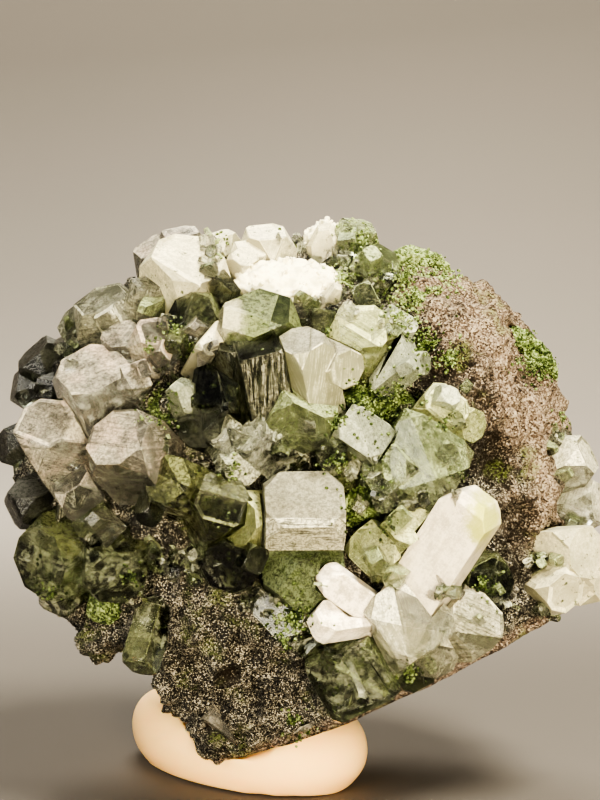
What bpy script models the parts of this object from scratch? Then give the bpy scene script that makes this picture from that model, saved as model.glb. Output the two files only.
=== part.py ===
"""An apophyllite cluster on basalt, leaning on its display pad.

Glassy apophyllite blocks, white stilbite blades and green celadonite crust grow on a domed lump of basalt
whose underside is a flat break. The face is laid out on the upright middle plane, as an eye in front sees it.
Metres, +Z up, the crystal face towards -Y, origin at the middle of the underside.
"""

import math
import random

import bmesh
import bpy
from mathutils import Matrix, Vector, noise
from mathutils.bvhtree import BVHTree

MM = 0.001

# Every place below is (right, up) in mm on the upright plane through the middle of the rock, up from the
# table. What grows there stands where the sight line from this eye through that place meets the rock.
EYE_DISTANCE = 254 * MM
EYE_HEIGHT = 73.5 * MM

# the basalt lump
ROCK_MIDDLE = (0.0, 46.5)
ROCK_FRONT = 27 * MM
ROCK_BACK = 27 * MM
ROCK_DETAIL = 5
ROCK_KEEP = 0.27
LUMP_HEIGHT = 2.3 * MM
LUMP_PITCH = 11 * MM
GAP = 0.3 * MM

# the rim of the rock, clockwise from the left
ROCK_RIM = (
    (-41.5, 48.0), (-41.5, 54.5), (-38.5, 62.0), (-33.5, 67.5), (-28.0, 73.0), (-22.5, 78.0),
    (-15.0, 80.5), (-7.5, 81.5), (0.0, 82.5), (6.5, 82.5), (12.5, 79.0), (19.0, 78.0), (23.0, 77.0),
    (29.0, 73.5),
    (34.5, 68.0), (38.0, 62.5), (40.0, 55.5), (40.5, 48.0), (42.0, 40.0), (43.5, 32.5), (46.0, 24.0),
    (39.5, 16.0), (27.5, 6.5), (15.0, 1.0), (4.5, 2.0), (-5.0, 4.5), (-9.0, 5.5), (-15.5, 7.0),
    (-19.0, 12.0), (-22.5, 16.5), (-23.5, 20.5), (-26.5, 22.0), (-30.5, 20.0), (-33.5, 24.0), (-36.5, 29.5),
    (-39.5, 34.0), (-40.0, 40.0),
)

# the flat break under the rock: two places on its front edge, and how far in front of the middle plane it is
BREAK_EDGE = ((4.5, 9.5), (45.5, 30.0))
BREAK_FRONT = 12 * MM

# hollows in the rock face: where, how wide, how deep
PITS = (
    ((-11.0, 15.5), 3.2 * MM, 4.5 * MM),
    ((28.5, 51.0), 4.5 * MM, 2.6 * MM),
    ((31.0, 38.5), 4.0 * MM, 2.2 * MM),
    ((19.5, 67.5), 3.2 * MM, 1.8 * MM),
    ((0.0, 19.5), 4.0 * MM, 1.8 * MM),
)
# knobs on the rock face: where, how wide, how high
KNOBS = (
    ((-17.5, 29.5), 4.6 * MM, 2.4 * MM),
    ((-6.0, 10.0), 5.0 * MM, 1.6 * MM),
    ((-30.0, 23.0), 4.4 * MM, 3.0 * MM),
    ((26.5, 68.0), 7.0 * MM, 1.6 * MM),
    ((34.0, 48.0), 6.0 * MM, 1.8 * MM),
)

# the oval pad that the rock leans on
PAD_LENGTH = 46 * MM
PAD_WIDTH = 29 * MM
PAD_HEIGHT = 10.6 * MM
PAD_FOOT_INSET = 3.2 * MM
PAD_DISH = 1.4 * MM
PAD_CENTRE = (-8.4 * MM, 8.0 * MM)
PAD_TURN = math.radians(-46)
PAD_STEPS = 24
PAD_ARC_POINTS = 6

# how steeply the four corner faces of an apophyllite tip slope, measured from its flat end
CORNER_SLOPE = math.radians(60)
# how steeply a stilbite blade's chisel tip slopes
CHISEL_SLOPE = math.radians(52)
# faces that turn less than this are one flat face
SAME_PLANE = math.radians(0.2)
# small shifts in mm for a cutter that only grazes a face
NUDGES = ((0, 0, 0), (0.013, 0.007, -0.011), (-0.017, 0.012, 0.014), (0.03, -0.02, 0.01))
# the ways to clean a cut mesh, mildest last: how far corners are merged in mm, and whether flats are joined
TIDY_TRIES = ((0.02, True), (0.005, True), (0.02, False), (0.002, False), (0.0001, False))
# how deep a crystal's foot goes into the rock, and the longest foot
BURIED = 1.6 * MM
MOST_ROOT = 14 * MM

# Apophyllite. Each row: group, place, (width, depth, length) in mm, the way its flat end faces and the way a
# side faces, both as (right, up, towards the eye), how much of each corner is cut, and how far its middle
# stands off the rock in mm. Crystals of one group grew together.
APOPHYLLITE = (
    ("fallen_slab", (-13.5, 66.5), (2.6, 5.6, 5.6), (0.30, 0.46, 0.84), (0.80, -0.58, 0.10), 0.16, 4.2),
    ("left_front", (-25.0, 50.0), (8.8, 8.6, 9.8), (-0.40, 0.58, 0.70), (0.85, 0.12, 0.52), 0.30, 4.4),
    ("left_pair", (-36.5, 51.5), (8.4, 8.8, 11.0), (-0.25, 0.62, 0.74), (-0.86, -0.10, 0.50), 0.34, 4.0),
    ("left_pair", (-33.5, 44.5), (5.6, 5.6, 7.0), (0.30, -0.35, 0.88), (0.85, 0.40, 0.10), 0.30, 3.0),
    ("left_upper", (-30.5, 60.0), (9.0, 8.4, 8.4), (-0.10, 0.72, 0.68), (-0.80, -0.30, 0.48), 0.26, 4.0),
    ("left_upper", (-25.5, 61.0), (4.4, 4.4, 5.2), (0.50, 0.20, 0.84), (0.20, 0.90, -0.2), 0.5, 4.2),
    ("left_upper", (-26.0, 66.0), (5.8, 5.4, 6.0), (-0.20, 0.75, 0.62), (0.80, 0.35, 0.40), 0.36, 2.6),
    ("left_upper", (-22.0, 66.5), (5.6, 5.6, 6.4), (0.15, 0.66, 0.73), (0.85, -0.30, 0.30), 0.40, 2.8),
    ("shoulder", (-28.0, 70.0), (9.0, 6.8, 8.6), (-0.35, 0.80, 0.50), (0.72, 0.48, 0.50), 0.36, 2.2),
    ("shoulder", (-32.0, 68.5), (5.6, 5.8, 6.4), (-0.50, 0.60, 0.60), (0.60, 0.70, 0.20), 0.34, 1.8),
    ("shoulder", (-23.0, 72.5), (5.0, 5.0, 7.4), (0.10, 0.85, 0.45), (0.90, 0.0, 0.30), 0.45, 2.8),
    ("left_rim", (-37.5, 63.0), (6.4, 6.8, 7.6), (-0.62, 0.66, 0.30), (0.30, 0.50, 0.80), 0.38, 0.8),
    ("left_rim", (-40.0, 60.0), (5.0, 5.0, 6.0), (-0.88, 0.20, 0.30), (0.10, 0.85, 0.50), 0.42, 0.6),
    ("left_rim", (-37.5, 60.0), (3.8, 3.8, 4.6), (-0.30, 0.10, 0.92), (0.80, 0.55, 0.10), 0.5, 1.6),
    ("left_edge", (-42.0, 51.5), (5.0, 5.6, 6.0), (-0.80, 0.05, 0.45), (0.05, 0.90, 0.40), 0.42, 0.2),
    ("left_foot", (-40.0, 43.0), (5.6, 6.2, 7.0), (-0.72, -0.30, 0.40), (-0.20, 0.80, 0.50), 0.38, 0.4),
    ("left_shelf", (-30.0, 39.0), (6.6, 5.4, 7.0), (0.42, -0.50, 0.75), (-0.45, 0.62, 0.62), 0.18, 3.2),
    ("left_lower", (-36.0, 35.0), (9.4, 9.0, 10.0), (-0.50, -0.10, 0.82), (0.25, 0.88, 0.35), 0.34, 2.0),
    ("left_lower", (-35.5, 30.0), (6.0, 6.0, 6.6), (-0.46, -0.50, 0.70), (0.60, 0.30, 0.72), 0.42, 1.2),
    ("left_shelf", (-28.0, 33.5), (8.4, 7.4, 8.0), (0.10, -0.40, 0.90), (0.90, -0.20, 0.10), 0.34, 2.4),
    ("under_left", (-23.0, 22.5), (3.8, 4.8, 9.6), (-0.22, -0.80, 0.50), (0.88, 0.0, 0.40), 0.20, 1.0),
    ("crown_left", (-17.0, 76.5), (10.6, 9.0, 8.0), (0.10, 0.72, 0.66), (0.60, -0.42, 0.66), 0.30, 2.8),
    ("crown_rim", (-21.0, 79.0), (5.8, 5.8, 6.4), (-0.40, 0.74, 0.50), (0.70, 0.30, 0.50), 0.42, 1.0),
    ("crown_rim", (-17.5, 80.5), (6.4, 5.6, 6.6), (-0.10, 0.86, 0.30), (0.80, 0.10, 0.50), 0.40, 0.8),
    ("crown_mid", (-15.0, 69.5), (6.6, 6.6, 7.4), (-0.30, 0.40, 0.85), (0.80, 0.42, 0.20), 0.30, 2.4),
    ("crown_back", (-5.0, 80.5), (6.6, 6.0, 6.6), (0.0, 0.85, 0.42), (0.80, -0.20, 0.50), 0.40, 1.6),
    ("crown_back", (-11.5, 80.5), (4.8, 4.8, 5.6), (-0.20, 0.90, 0.30), (0.80, 0.20, 0.40), 0.40, 1.2),
    ("crown_back", (-8.0, 79.0), (5.0, 4.6, 5.2), (0.20, 0.75, 0.60), (0.80, -0.30, 0.20), 0.45, 1.6),
    ("crown_dome", (-6.5, 69.0), (11.0, 7.6, 6.6), (0.02, 0.70, 0.70), (-0.84, -0.34, 0.42), 0.34, 3.2),
    ("striped_prism", (-5.5, 62.0), (6.0, 5.8, 9.6), (-0.16, 0.86, 0.46), (0.20, -0.42, 0.88), 0.10, 5.0),
    ("striped_prism", (-10.0, 62.5), (3.6, 5.0, 8.6), (-0.14, 0.88, 0.40), (-0.62, -0.20, 0.74), 0.14, 4.0),
    ("pale_prism", (1.0, 63.0), (6.4, 5.8, 9.6), (-0.18, 0.84, 0.50), (0.62, -0.22, 0.74), 0.26, 5.0),
    ("pale_prism", (5.0, 64.0), (5.2, 5.0, 7.4), (0.50, -0.20, 0.84), (0.50, 0.80, 0.10), 0.30, 3.6),
    ("eye", (9.0, 67.5), (7.6, 7.4, 7.6), (0.05, 0.46, 0.88), (0.76, -0.50, 0.30), 0.42, 3.4),
    ("knife_pair", (14.0, 63.5), (6.6, 3.2, 7.0), (0.12, -0.62, 0.76), (0.68, 0.60, 0.36), 0.12, 3.4),
    ("knife_pair", (16.5, 64.0), (3.2, 3.0, 5.0), (0.80, 0.0, 0.60), (0.10, 0.92, 0.10), 0.30, 2.8),
    ("knife_pair", (14.5, 68.5), (4.4, 3.4, 5.2), (0.30, 0.62, 0.70), (0.80, -0.42, 0.10), 0.26, 2.6),
    ("frosted_step", (0.0, 55.5), (8.2, 6.0, 6.0), (-0.05, -0.34, 0.92), (0.84, -0.42, -0.1), 0.30, 4.2),
    ("clear_hook", (-5.0, 51.0), (6.0, 4.6, 8.0), (-0.52, 0.55, 0.66), (0.60, 0.70, -0.10), 0.34, 3.6),
    ("clear_hook", (-9.0, 49.5), (5.6, 5.0, 6.4), (0.20, -0.20, 0.95), (0.72, 0.66, 0.10), 0.30, 2.8),
    ("clear_hook", (-11.0, 53.5), (4.6, 4.6, 5.4), (-0.42, 0.30, 0.84), (0.60, 0.78, 0.0), 0.30, 2.2),
    ("left_point", (-17.5, 59.0), (3.8, 5.0, 6.4), (-0.26, 0.46, 0.85), (0.88, 0.28, 0.38), 0.80, 4.4),
    ("dark_block", (-12.0, 58.5), (6.4, 6.4, 9.0), (-0.10, 0.50, 0.84), (0.88, 0.10, 0.42), 0.20, 1.8),
    ("dark_block", (-14.0, 55.0), (6.0, 5.6, 6.4), (-0.30, -0.10, 0.94), (0.70, 0.70, 0.0), 0.30, 1.8),
    ("mid_plate", (9.5, 53.0), (7.0, 5.4, 5.4), (0.06, 0.26, 0.95), (0.80, -0.56, 0.0), 0.24, 3.6),
    ("moss_leaf", (5.0, 49.5), (4.8, 4.0, 7.4), (-0.12, 0.72, 0.68), (-0.86, -0.20, 0.42), 0.70, 3.0),
    ("big_dome", (0.5, 41.0), (10.4, 8.6, 8.0), (0.06, 0.62, 0.78), (0.99, 0.0, -0.1), 0.24, 4.8),
    ("big_dome", (0.5, 32.5), (11.0, 8.4, 9.0), (0.05, -0.42, 0.90), (0.99, 0.05, 0.02), 0.56, 3.0),
    ("olive_pair", (-12.5, 42.0), (8.0, 7.2, 8.0), (0.20, 0.40, 0.88), (0.50, -0.74, 0.42), 0.40, 3.8),
    ("olive_pair", (-18.0, 45.0), (6.6, 7.4, 8.0), (-0.40, 0.40, 0.80), (-0.36, -0.84, 0.36), 0.36, 3.2),
    ("v_crystal", (-7.0, 40.0), (6.2, 5.8, 7.4), (-0.55, 0.10, 0.82), (0.50, 0.78, 0.30), 0.30, 2.4),
    ("shadow_block", (-10.0, 35.0), (7.4, 7.0, 8.0), (-0.10, -0.30, 0.94), (0.85, -0.36, 0.10), 0.30, 2.2),
    ("right_small", (21.0, 56.5), (6.4, 5.0, 5.8), (0.26, 0.42, 0.86), (0.76, -0.56, 0.10), 0.26, 2.8),
    ("right_small", (24.0, 55.0), (4.4, 4.4, 5.8), (0.62, -0.10, 0.76), (0.40, 0.82, 0.0), 0.30, 2.0),
    ("cloud_block", (18.0, 49.0), (11.2, 10.2, 7.4), (0.12, 0.20, 0.95), (0.82, -0.50, 0.10), 0.24, 3.2),
    ("cloud_block", (14.0, 48.0), (6.4, 6.0, 6.4), (-0.40, 0.10, 0.90), (0.70, 0.66, 0.20), 0.30, 3.2),
    ("pale_shard", (16.5, 39.5), (7.2, 4.6, 6.0), (0.16, 0.30, 0.93), (0.78, 0.56, -0.1), 0.24, 3.8),
    ("pale_shard", (11.5, 35.5), (6.6, 5.6, 6.2), (-0.22, 0.16, 0.95), (0.70, -0.66, 0.20), 0.30, 3.0),
    ("mossy_step", (-2.0, 25.5), (8.4, 5.6, 6.8), (-0.30, 0.36, 0.86), (0.66, -0.62, 0.38), 0.28, 2.8),
    ("square_foot", (8.0, 17.0), (9.8, 9.2, 7.4), (-0.06, -0.20, 0.97), (0.86, 0.44, 0.20), 0.12, 2.4),
    ("square_foot", (17.0, 18.0), (5.4, 4.4, 5.6), (0.22, -0.30, 0.92), (0.86, 0.44, 0.0), 0.26, 2.4),
    ("fan_blocks", (16.0, 24.5), (10.0, 9.6, 9.6), (0.12, 0.36, 0.92), (0.52, -0.78, 0.20), 0.24, 5.2),
    ("fan_blocks", (25.0, 24.5), (8.0, 7.0, 8.0), (0.34, 0.22, 0.90), (0.70, -0.66, 0.10), 0.30, 3.8),
    ("fan_blocks", (20.0, 20.5), (5.6, 5.0, 6.0), (0.20, -0.40, 0.88), (0.80, 0.40, 0.10), 0.30, 3.4),
    ("green_window", (27.5, 31.0), (6.0, 6.4, 6.6), (0.30, 0.10, 0.94), (0.40, -0.88, 0.0), 0.26, 1.4),
    ("right_wall", (39.5, 48.5), (5.6, 6.4, 8.6), (0.80, 0.42, 0.40), (0.20, -0.62, 0.74), 0.36, 1.0),
    ("right_wall", (41.0, 42.5), (6.0, 7.0, 8.4), (0.86, 0.16, 0.46), (-0.10, 0.80, 0.50), 0.36, 1.2),
    ("right_corner", (40.0, 35.0), (7.4, 7.8, 8.6), (0.66, 0.14, 0.74), (0.30, -0.84, 0.30), 0.30, 1.8),
    ("right_corner", (42.5, 31.5), (5.8, 6.4, 6.6), (0.84, 0.0, 0.50), (0.10, 0.85, 0.40), 0.34, 0.6),
    ("right_corner", (38.5, 30.0), (6.0, 5.0, 6.4), (0.36, -0.10, 0.92), (0.80, 0.50, 0.0), 0.30, 1.4),
    ("crest", (8.0, 81.5), (5.8, 5.4, 6.6), (0.20, 0.86, 0.42), (0.80, -0.30, 0.40), 0.40, 1.0),
    ("crest", (11.0, 77.5), (6.4, 5.4, 6.0), (0.30, 0.66, 0.66), (0.78, -0.50, 0.10), 0.34, 1.2),
)

# Stilbite. Each row: name, place, (width, thickness, length) in mm, the way the blade points, the way its
# broad side faces, and how far its middle stands off the rock in mm.
STILBITE = (
    ("stilbite_column", (22.5, 36.5), (7.6, 6.2, 16.6), (0.46, 0.82, 0.34), (-0.46, -0.10, 0.88), 6.2),
    ("stilbite_rod_upper", (7.0, 29.5), (4.2, 3.2, 9.6), (-0.64, 0.54, 0.54), (0.30, -0.32, 0.90), 6.6),
    ("stilbite_rod_lower", (6.0, 25.0), (4.6, 3.6, 8.6), (-0.80, 0.0, 0.60), (0.36, 0.62, 0.70), 5.6),
)

# Lumpy crusts that lie on the rock: name, place, (half width, half height, half thickness) in mm, and the
# turn of the long side in degrees.
CRUSTS = (
    ("green_crust_crest", (18.5, 80.0), (4.8, 3.6, 2.8), 60),
    ("green_crust_rim", (35.0, 65.5), (5.2, 2.4, 1.8), -55),
    ("green_crust_middle", (11.5, 58.0), (5.6, 2.8, 2.0), 8),
    ("green_crust_hollow", (9.5, 43.5), (3.6, 3.2, 2.0), 30),
    ("green_crust_lower", (-29.5, 27.5), (4.4, 2.8, 1.8), 20),
    ("white_crust_crown", (-2.0, 76.0), (8.2, 4.2, 2.2), 6),
    ("white_crust_spire", (3.5, 82.0), (4.6, 2.6, 3.2), 80),
)
CRUST_DETAIL = 2
CRUST_LUMPS = 0.2

# growth on the sides and the back, where the face doesn't show: how many, and the turn in plan between them
REAR_CRYSTALS = 8
REAR_FIRST = 112
REAR_TURN = 20
REAR_SEED = 11

PARTS = "apophyllite_cluster"
CUTTERS = "cutters"

BASALT = (0.060, 0.048, 0.042)
GLASSY = (0.62, 0.70, 0.58)
MILKY = (0.82, 0.76, 0.70)
GREEN = (0.20, 0.30, 0.06)
CREAM = (0.85, 0.80, 0.70)
BEIGE = (0.80, 0.66, 0.50)


def eye():
    return Vector((0, -EYE_DISTANCE, EYE_HEIGHT))


def on_plane(place, in_front=0.0):
    """The point that the eye sees at a place, on the upright plane that far in front of the middle one."""
    right, up = place
    ray = Vector((right * MM, 0, up * MM)) - eye()
    return eye() + ray * ((EYE_DISTANCE - in_front) / ray.y)


def sight(place):
    """The direction in which the eye sees a place."""
    return (on_plane(place) - eye()).normalized()


def faced(direction):
    """A direction given as (right, up, towards the eye)."""
    right, up, towards = direction
    return Vector((right, -towards, up)).normalized()


def material(name, colour, roughness, metallic=0.0):
    made = bpy.data.materials.get(name) or bpy.data.materials.new(name)
    made.use_nodes = True
    shader = made.node_tree.nodes["Principled BSDF"]
    shader.inputs["Base Color"].default_value = (*colour, 1)
    shader.inputs["Roughness"].default_value = roughness
    shader.inputs["Metallic"].default_value = metallic
    return made


def collection(name):
    made = bpy.data.collections.get(name)
    if not made:
        made = bpy.data.collections.new(name)
        bpy.context.scene.collection.children.link(made)
    return made


def new_object(name, bm, surface=None):
    """An object made from a bmesh, which is freed: a part where it has a surface, and otherwise a cutter."""
    bmesh.ops.recalc_face_normals(bm, faces=bm.faces)
    mesh = bpy.data.meshes.new(name)
    bm.to_mesh(mesh)
    bm.free()
    made = bpy.data.objects.new(name, mesh)
    if surface:
        mesh.materials.append(surface)
        collection(PARTS).objects.link(made)
    else:
        made.hide_render = True
        made.display_type = "WIRE"
        collection(CUTTERS).objects.link(made)
    return made


def cut_flat(bm, point, outward):
    """Cuts away what lies past a plane and closes the cut."""
    geometry = [*bm.verts, *bm.edges, *bm.faces]
    cut = bmesh.ops.bisect_plane(bm, geom=geometry, plane_co=point, plane_no=outward, clear_outer=True)
    edges = [e for e in cut["geom_cut"] if isinstance(e, bmesh.types.BMEdge)]
    if edges:
        bmesh.ops.holes_fill(bm, edges=edges)


def closed(bm):
    return all(len(edge.link_faces) == 2 for edge in bm.edges)


def boolean(target, other, operation):
    """Joins or cuts target with other, nudging other where the two only graze each other."""
    whole = target.data
    for nudge in NUDGES:
        cutter = other.copy()
        cutter.data = other.data.copy()
        cutter.data.transform(Matrix.Translation(Vector(nudge) * MM))
        collection(CUTTERS).objects.link(cutter)
        modifier = target.modifiers.new(operation.title(), "BOOLEAN")
        modifier.operation = operation
        modifier.solver = "EXACT"
        modifier.object = cutter
        graph = bpy.context.evaluated_depsgraph_get()
        mesh = bpy.data.meshes.new_from_object(target.evaluated_get(graph))
        target.modifiers.clear()
        remove(cutter)
        bm = bmesh.new()
        bm.from_mesh(mesh)
        good = closed(bm)
        bm.free()
        target.data = mesh
        if good:
            return
        target.data = whole
    target.data = mesh


def thin(made, keep):
    """Leaves only a share of the faces of an object."""
    modifier = made.modifiers.new("Decimate", "DECIMATE")
    modifier.ratio = keep
    graph = bpy.context.evaluated_depsgraph_get()
    made.data = bpy.data.meshes.new_from_object(made.evaluated_get(graph))
    made.modifiers.clear()


def remove(made):
    bpy.data.objects.remove(made)


def box_of(made):
    corners = [v.co for v in made.data.vertices]
    low = Vector(min(c[i] for c in corners) for i in range(3))
    high = Vector(max(c[i] for c in corners) for i in range(3))
    return low, high


def boxes_meet(a, b):
    (a_low, a_high), (b_low, b_high) = box_of(a), box_of(b)
    return all(a_low[i] < b_high[i] and b_low[i] < a_high[i] for i in range(3))


def islands(bm):
    """The separate bodies of a bmesh, as lists of faces."""
    left = set(bm.faces)
    found = []
    while left:
        stack = [left.pop()]
        body = list(stack)
        while stack:
            for edge in stack.pop().edges:
                for face in edge.link_faces:
                    if face in left:
                        left.remove(face)
                        body.append(face)
                        stack.append(face)
        found.append(body)
    return found


def tidied(made, merge, flatten, triangles):
    """The mesh of an object without the chips that a cut has left loose."""
    bm = bmesh.new()
    bm.from_mesh(made.data)
    bmesh.ops.remove_doubles(bm, verts=bm.verts, dist=merge)
    bmesh.ops.dissolve_degenerate(bm, edges=bm.edges, dist=merge)
    bodies = sorted(islands(bm), key=lambda body: sum(f.calc_area() for f in body))
    chips = [face for body in bodies[:-1] for face in body]
    bmesh.ops.delete(bm, geom=chips, context="FACES")
    if flatten:
        bmesh.ops.dissolve_limit(bm, angle_limit=SAME_PLANE, verts=bm.verts, edges=bm.edges)
    if triangles:
        bmesh.ops.triangulate(bm, faces=bm.faces)
    return bm


def tidy(made, triangles=True):
    """Makes each flat face one face before it is cut in triangles, where the object stays closed by it."""
    for merge, flatten in TIDY_TRIES:
        bm = tidied(made, merge * MM, flatten, triangles)
        good = closed(bm)
        if good:
            bm.to_mesh(made.data)
        bm.free()
        if good:
            return


def rim_radius(angle, rim):
    """The rock's reach from its centre at an angle, straight between the rim's points."""
    for (a, near), (b, far) in zip(rim, rim[1:] + rim[:1]):
        span = (b - a) % math.tau
        along = (angle - a) % math.tau
        if along <= span:
            return near + (far - near) * along / span
    return rim[0][1]


def dent(point, centre, width, depth):
    """How far a hollow or knob moves a point of the face."""
    away = (point - centre).length / width
    return depth * math.exp(-away * away * 1.6)


def rock():
    """The basalt lump, without the sockets of its crystals."""
    centre = on_plane(ROCK_MIDDLE)
    rim = []
    for place in ROCK_RIM:
        reach = on_plane(place) - centre
        rim.append((math.atan2(reach.z, reach.x) % math.tau, math.hypot(reach.x, reach.z)))
    rim.sort()
    bm = bmesh.new()
    bmesh.ops.create_icosphere(bm, subdivisions=ROCK_DETAIL, radius=1)
    marks = [(on_plane(place), width, -deep) for place, width, deep in PITS]
    marks += [(on_plane(place), width, high) for place, width, high in KNOBS]
    for v in bm.verts:
        x, y, z = v.co
        reach = rim_radius(math.atan2(z, x) % math.tau, rim)
        depth = y * (ROCK_BACK if y > 0 else ROCK_FRONT)
        flat = Vector((x * reach, 0, z * reach))
        place = centre + flat + Vector((0, depth, 0))
        out = Vector((x * reach, y * ROCK_FRONT, z * reach)).normalized()
        lumps = noise.fractal(place / LUMP_PITCH, 0.9, 2.1, 3)
        push = lumps * LUMP_HEIGHT * (0.5 + 0.5 * abs(y))
        if y < 0:
            flat_place = Vector((place.x, 0, place.z))
            push += sum(dent(flat_place, c, w, d) for c, w, d in marks) * min(1, -2 * y)
        v.co = place + out * push
    edge_a, edge_b = (on_plane(place, BREAK_FRONT) for place in BREAK_EDGE)
    along = (edge_b - edge_a).normalized()
    outward = Vector((along.z, 0, -along.x))
    cut_flat(bm, edge_a, outward)
    made = new_object("basalt_matrix", bm, material("basalt", BASALT, 0.8))
    thin(made, ROCK_KEEP)
    return made


def inflated(made, name, by):
    """A copy grown outwards all round."""
    bm = bmesh.new()
    bm.from_mesh(made.data)
    bm.normal_update()
    shifts = [(v, v.normal * by) for v in bm.verts]
    for v, shift in shifts:
        v.co += shift
    return new_object(name, bm)


class Ground:
    """The rock's surface, for finding where things grow on it."""

    def __init__(self, made):
        mesh = made.data
        corners = [v.co for v in mesh.vertices]
        self.tree = BVHTree.FromPolygons(corners, [p.vertices for p in mesh.polygons])

    def inside(self, point):
        near, normal, _, _ = self.tree.find_nearest(point)
        return (point - near).dot(normal) < 0

    def seen_at(self, place):
        """The point of the rock that the eye sees at a place, or else where the sight line passes nearest."""
        ray = sight(place)
        hit = self.tree.ray_cast(eye(), ray)[0]
        if hit is not None:
            return hit
        reach = [eye() + ray * (EYE_DISTANCE + shift * MM) for shift in range(-24, 25)]
        return min(reach, key=lambda point: self.tree.find_nearest(point)[3])

    def root(self, middle, axis, half):
        """How far back from its middle a crystal goes, so that its foot is buried."""
        length = half
        while length < MOST_ROOT and not self.inside(middle - axis * (length - BURIED)):
            length += 0.5 * MM
        return length


def frame_of(middle, axis, side):
    """The matrix of a crystal: its length along Z, the given side along X."""
    side = (side - axis * side.dot(axis)).normalized()
    other = axis.cross(side)
    turn = Matrix((side, other, axis)).transposed().to_4x4()
    return Matrix.Translation(middle) @ turn


def block(size, root, cut, grow=0.0):
    """An apophyllite crystal about its middle: a square prism with a flat end and four cut corners."""
    width, depth, length = size
    tip = length / 2 + grow
    foot = root + grow
    bm = bmesh.new()
    bmesh.ops.create_cube(bm, size=1)
    bmesh.ops.scale(bm, vec=(width + 2 * grow, depth + 2 * grow, tip + foot), verts=bm.verts)
    bmesh.ops.translate(bm, vec=(0, 0, (tip - foot) / 2), verts=bm.verts)
    half_diagonal = math.hypot(width, depth) / 2
    slope = Vector((math.sin(CORNER_SLOPE), 0, math.cos(CORNER_SLOPE)))
    for corner in range(4):
        heading = math.atan2(depth, width) * (1 if corner in (0, 2) else -1) + math.pi * (corner // 2)
        outward = Matrix.Rotation(heading, 3, "Z") @ slope
        radius = half_diagonal * (1 - cut)
        start = Vector((math.cos(heading) * radius, math.sin(heading) * radius, length / 2))
        cut_flat(bm, start + outward * grow, outward)
    return bm


def blade(size, root, grow=0.0):
    """A stilbite blade about its middle: a flat prism with a chisel tip."""
    width, thickness, length = size
    tip = length / 2 + grow
    foot = root + grow
    bm = bmesh.new()
    bmesh.ops.create_cube(bm, size=1)
    bmesh.ops.scale(bm, vec=(thickness + 2 * grow, width + 2 * grow, tip + foot), verts=bm.verts)
    bmesh.ops.translate(bm, vec=(0, 0, (tip - foot) / 2), verts=bm.verts)
    for way in (1, -1):
        outward = Vector((0, way * math.sin(CHISEL_SLOPE), math.cos(CHISEL_SLOPE)))
        start = Vector((0, way * width * 0.24, length / 2))
        cut_flat(bm, start + outward * grow, outward)
    for way in (1, -1):
        outward = Vector((way * 0.8, 0, 0.6))
        start = Vector((way * thickness * 0.36, 0, length / 2))
        cut_flat(bm, start + outward * grow, outward)
    return bm


def grown(name, shape, size, middle, axis, side, ground, extra=(), surface=None):
    """One crystal in place, and a cutter of it that is GAP larger all round."""
    sides = tuple(value * MM for value in size)
    root = ground.root(middle, axis, sides[2] / 2)
    place = frame_of(middle, axis, side)
    pair = []
    for grow, word in ((0.0, ""), (GAP, "_socket")):
        bm = shape(sides, root, *extra, grow)
        bmesh.ops.transform(bm, matrix=place, verts=bm.verts)
        pair.append(new_object(name + word, bm, surface if not word else None))
    return pair


def join(first, others):
    """Fuses crystals that grew together."""
    for other in others:
        boolean(first, other, "UNION")
        remove(other)
    return first


def front_apophyllite(ground):
    """The groups of the crystal face: each is one solid, with its socket."""
    surface = material("apophyllite", GLASSY, 0.15)
    groups = {}
    for group, place, size, axis, side, cut, off in APOPHYLLITE:
        middle = ground.seen_at(place) - sight(place) * off * MM
        name = "apophyllite_" + group
        pair = grown(name, block, size, middle, faced(axis), faced(side), ground, (cut,), surface)
        groups.setdefault(name, []).append(pair)
    made = []
    for name, pairs in groups.items():
        crystal = join(pairs[0][0], [p[0] for p in pairs[1:]])
        socket = join(pairs[0][1], [p[1] for p in pairs[1:]])
        tidy(socket, triangles=False)
        crystal.name, socket.name = name, name + "_socket"
        made.append((crystal, socket))
    return made


def rear_apophyllite(ground, centre):
    """Single crystals round the sides and the back."""
    surface = material("apophyllite", GLASSY, 0.15)
    chance = random.Random(REAR_SEED)
    made = []
    for i in range(REAR_CRYSTALS):
        turn = math.radians(REAR_FIRST + i * REAR_TURN)
        rise = math.radians((4, 30, 14, -8)[i % 4] + chance.uniform(-6, 6))
        out = Vector((math.cos(rise) * math.sin(turn), -math.cos(rise) * math.cos(turn), math.sin(rise)))
        hit, normal, _, _ = ground.tree.ray_cast(centre + out * 0.1, -out)
        size = tuple(chance.uniform(5.0, 8.4) for _ in range(3))
        lean = Vector(chance.uniform(-0.4, 0.4) for _ in range(3))
        axis = (normal + lean).normalized()
        side = Vector(chance.uniform(-1, 1) for _ in range(3))
        name = f"apophyllite_rear_{i + 1:02d}"
        cut = chance.uniform(0.25, 0.5)
        made.append(grown(name, block, size, hit + axis * 1.2 * MM, axis, side, ground, (cut,), surface))
    return made


def stilbite(ground):
    surface = material("stilbite", MILKY, 0.4)
    made = []
    for name, place, size, axis, side, off in STILBITE:
        middle = ground.seen_at(place) - sight(place) * off * MM
        made.append(grown(name, blade, size, middle, faced(axis), faced(side), ground, (), surface))
    return made


def crust_shape(matrix, size, grow):
    """A flattened lumpy cushion."""
    bm = bmesh.new()
    bmesh.ops.create_icosphere(bm, subdivisions=CRUST_DETAIL, radius=1)
    half = Vector(value * MM + grow for value in size)
    for v in bm.verts:
        lumps = 1 + CRUST_LUMPS * noise.fractal(v.co * 2.3 + matrix.translation * 400, 0.8, 2.0, 2)
        v.co = Vector(v.co[i] * half[i] * lumps for i in range(3))
    bmesh.ops.transform(bm, matrix=matrix, verts=bm.verts)
    return bm


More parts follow.
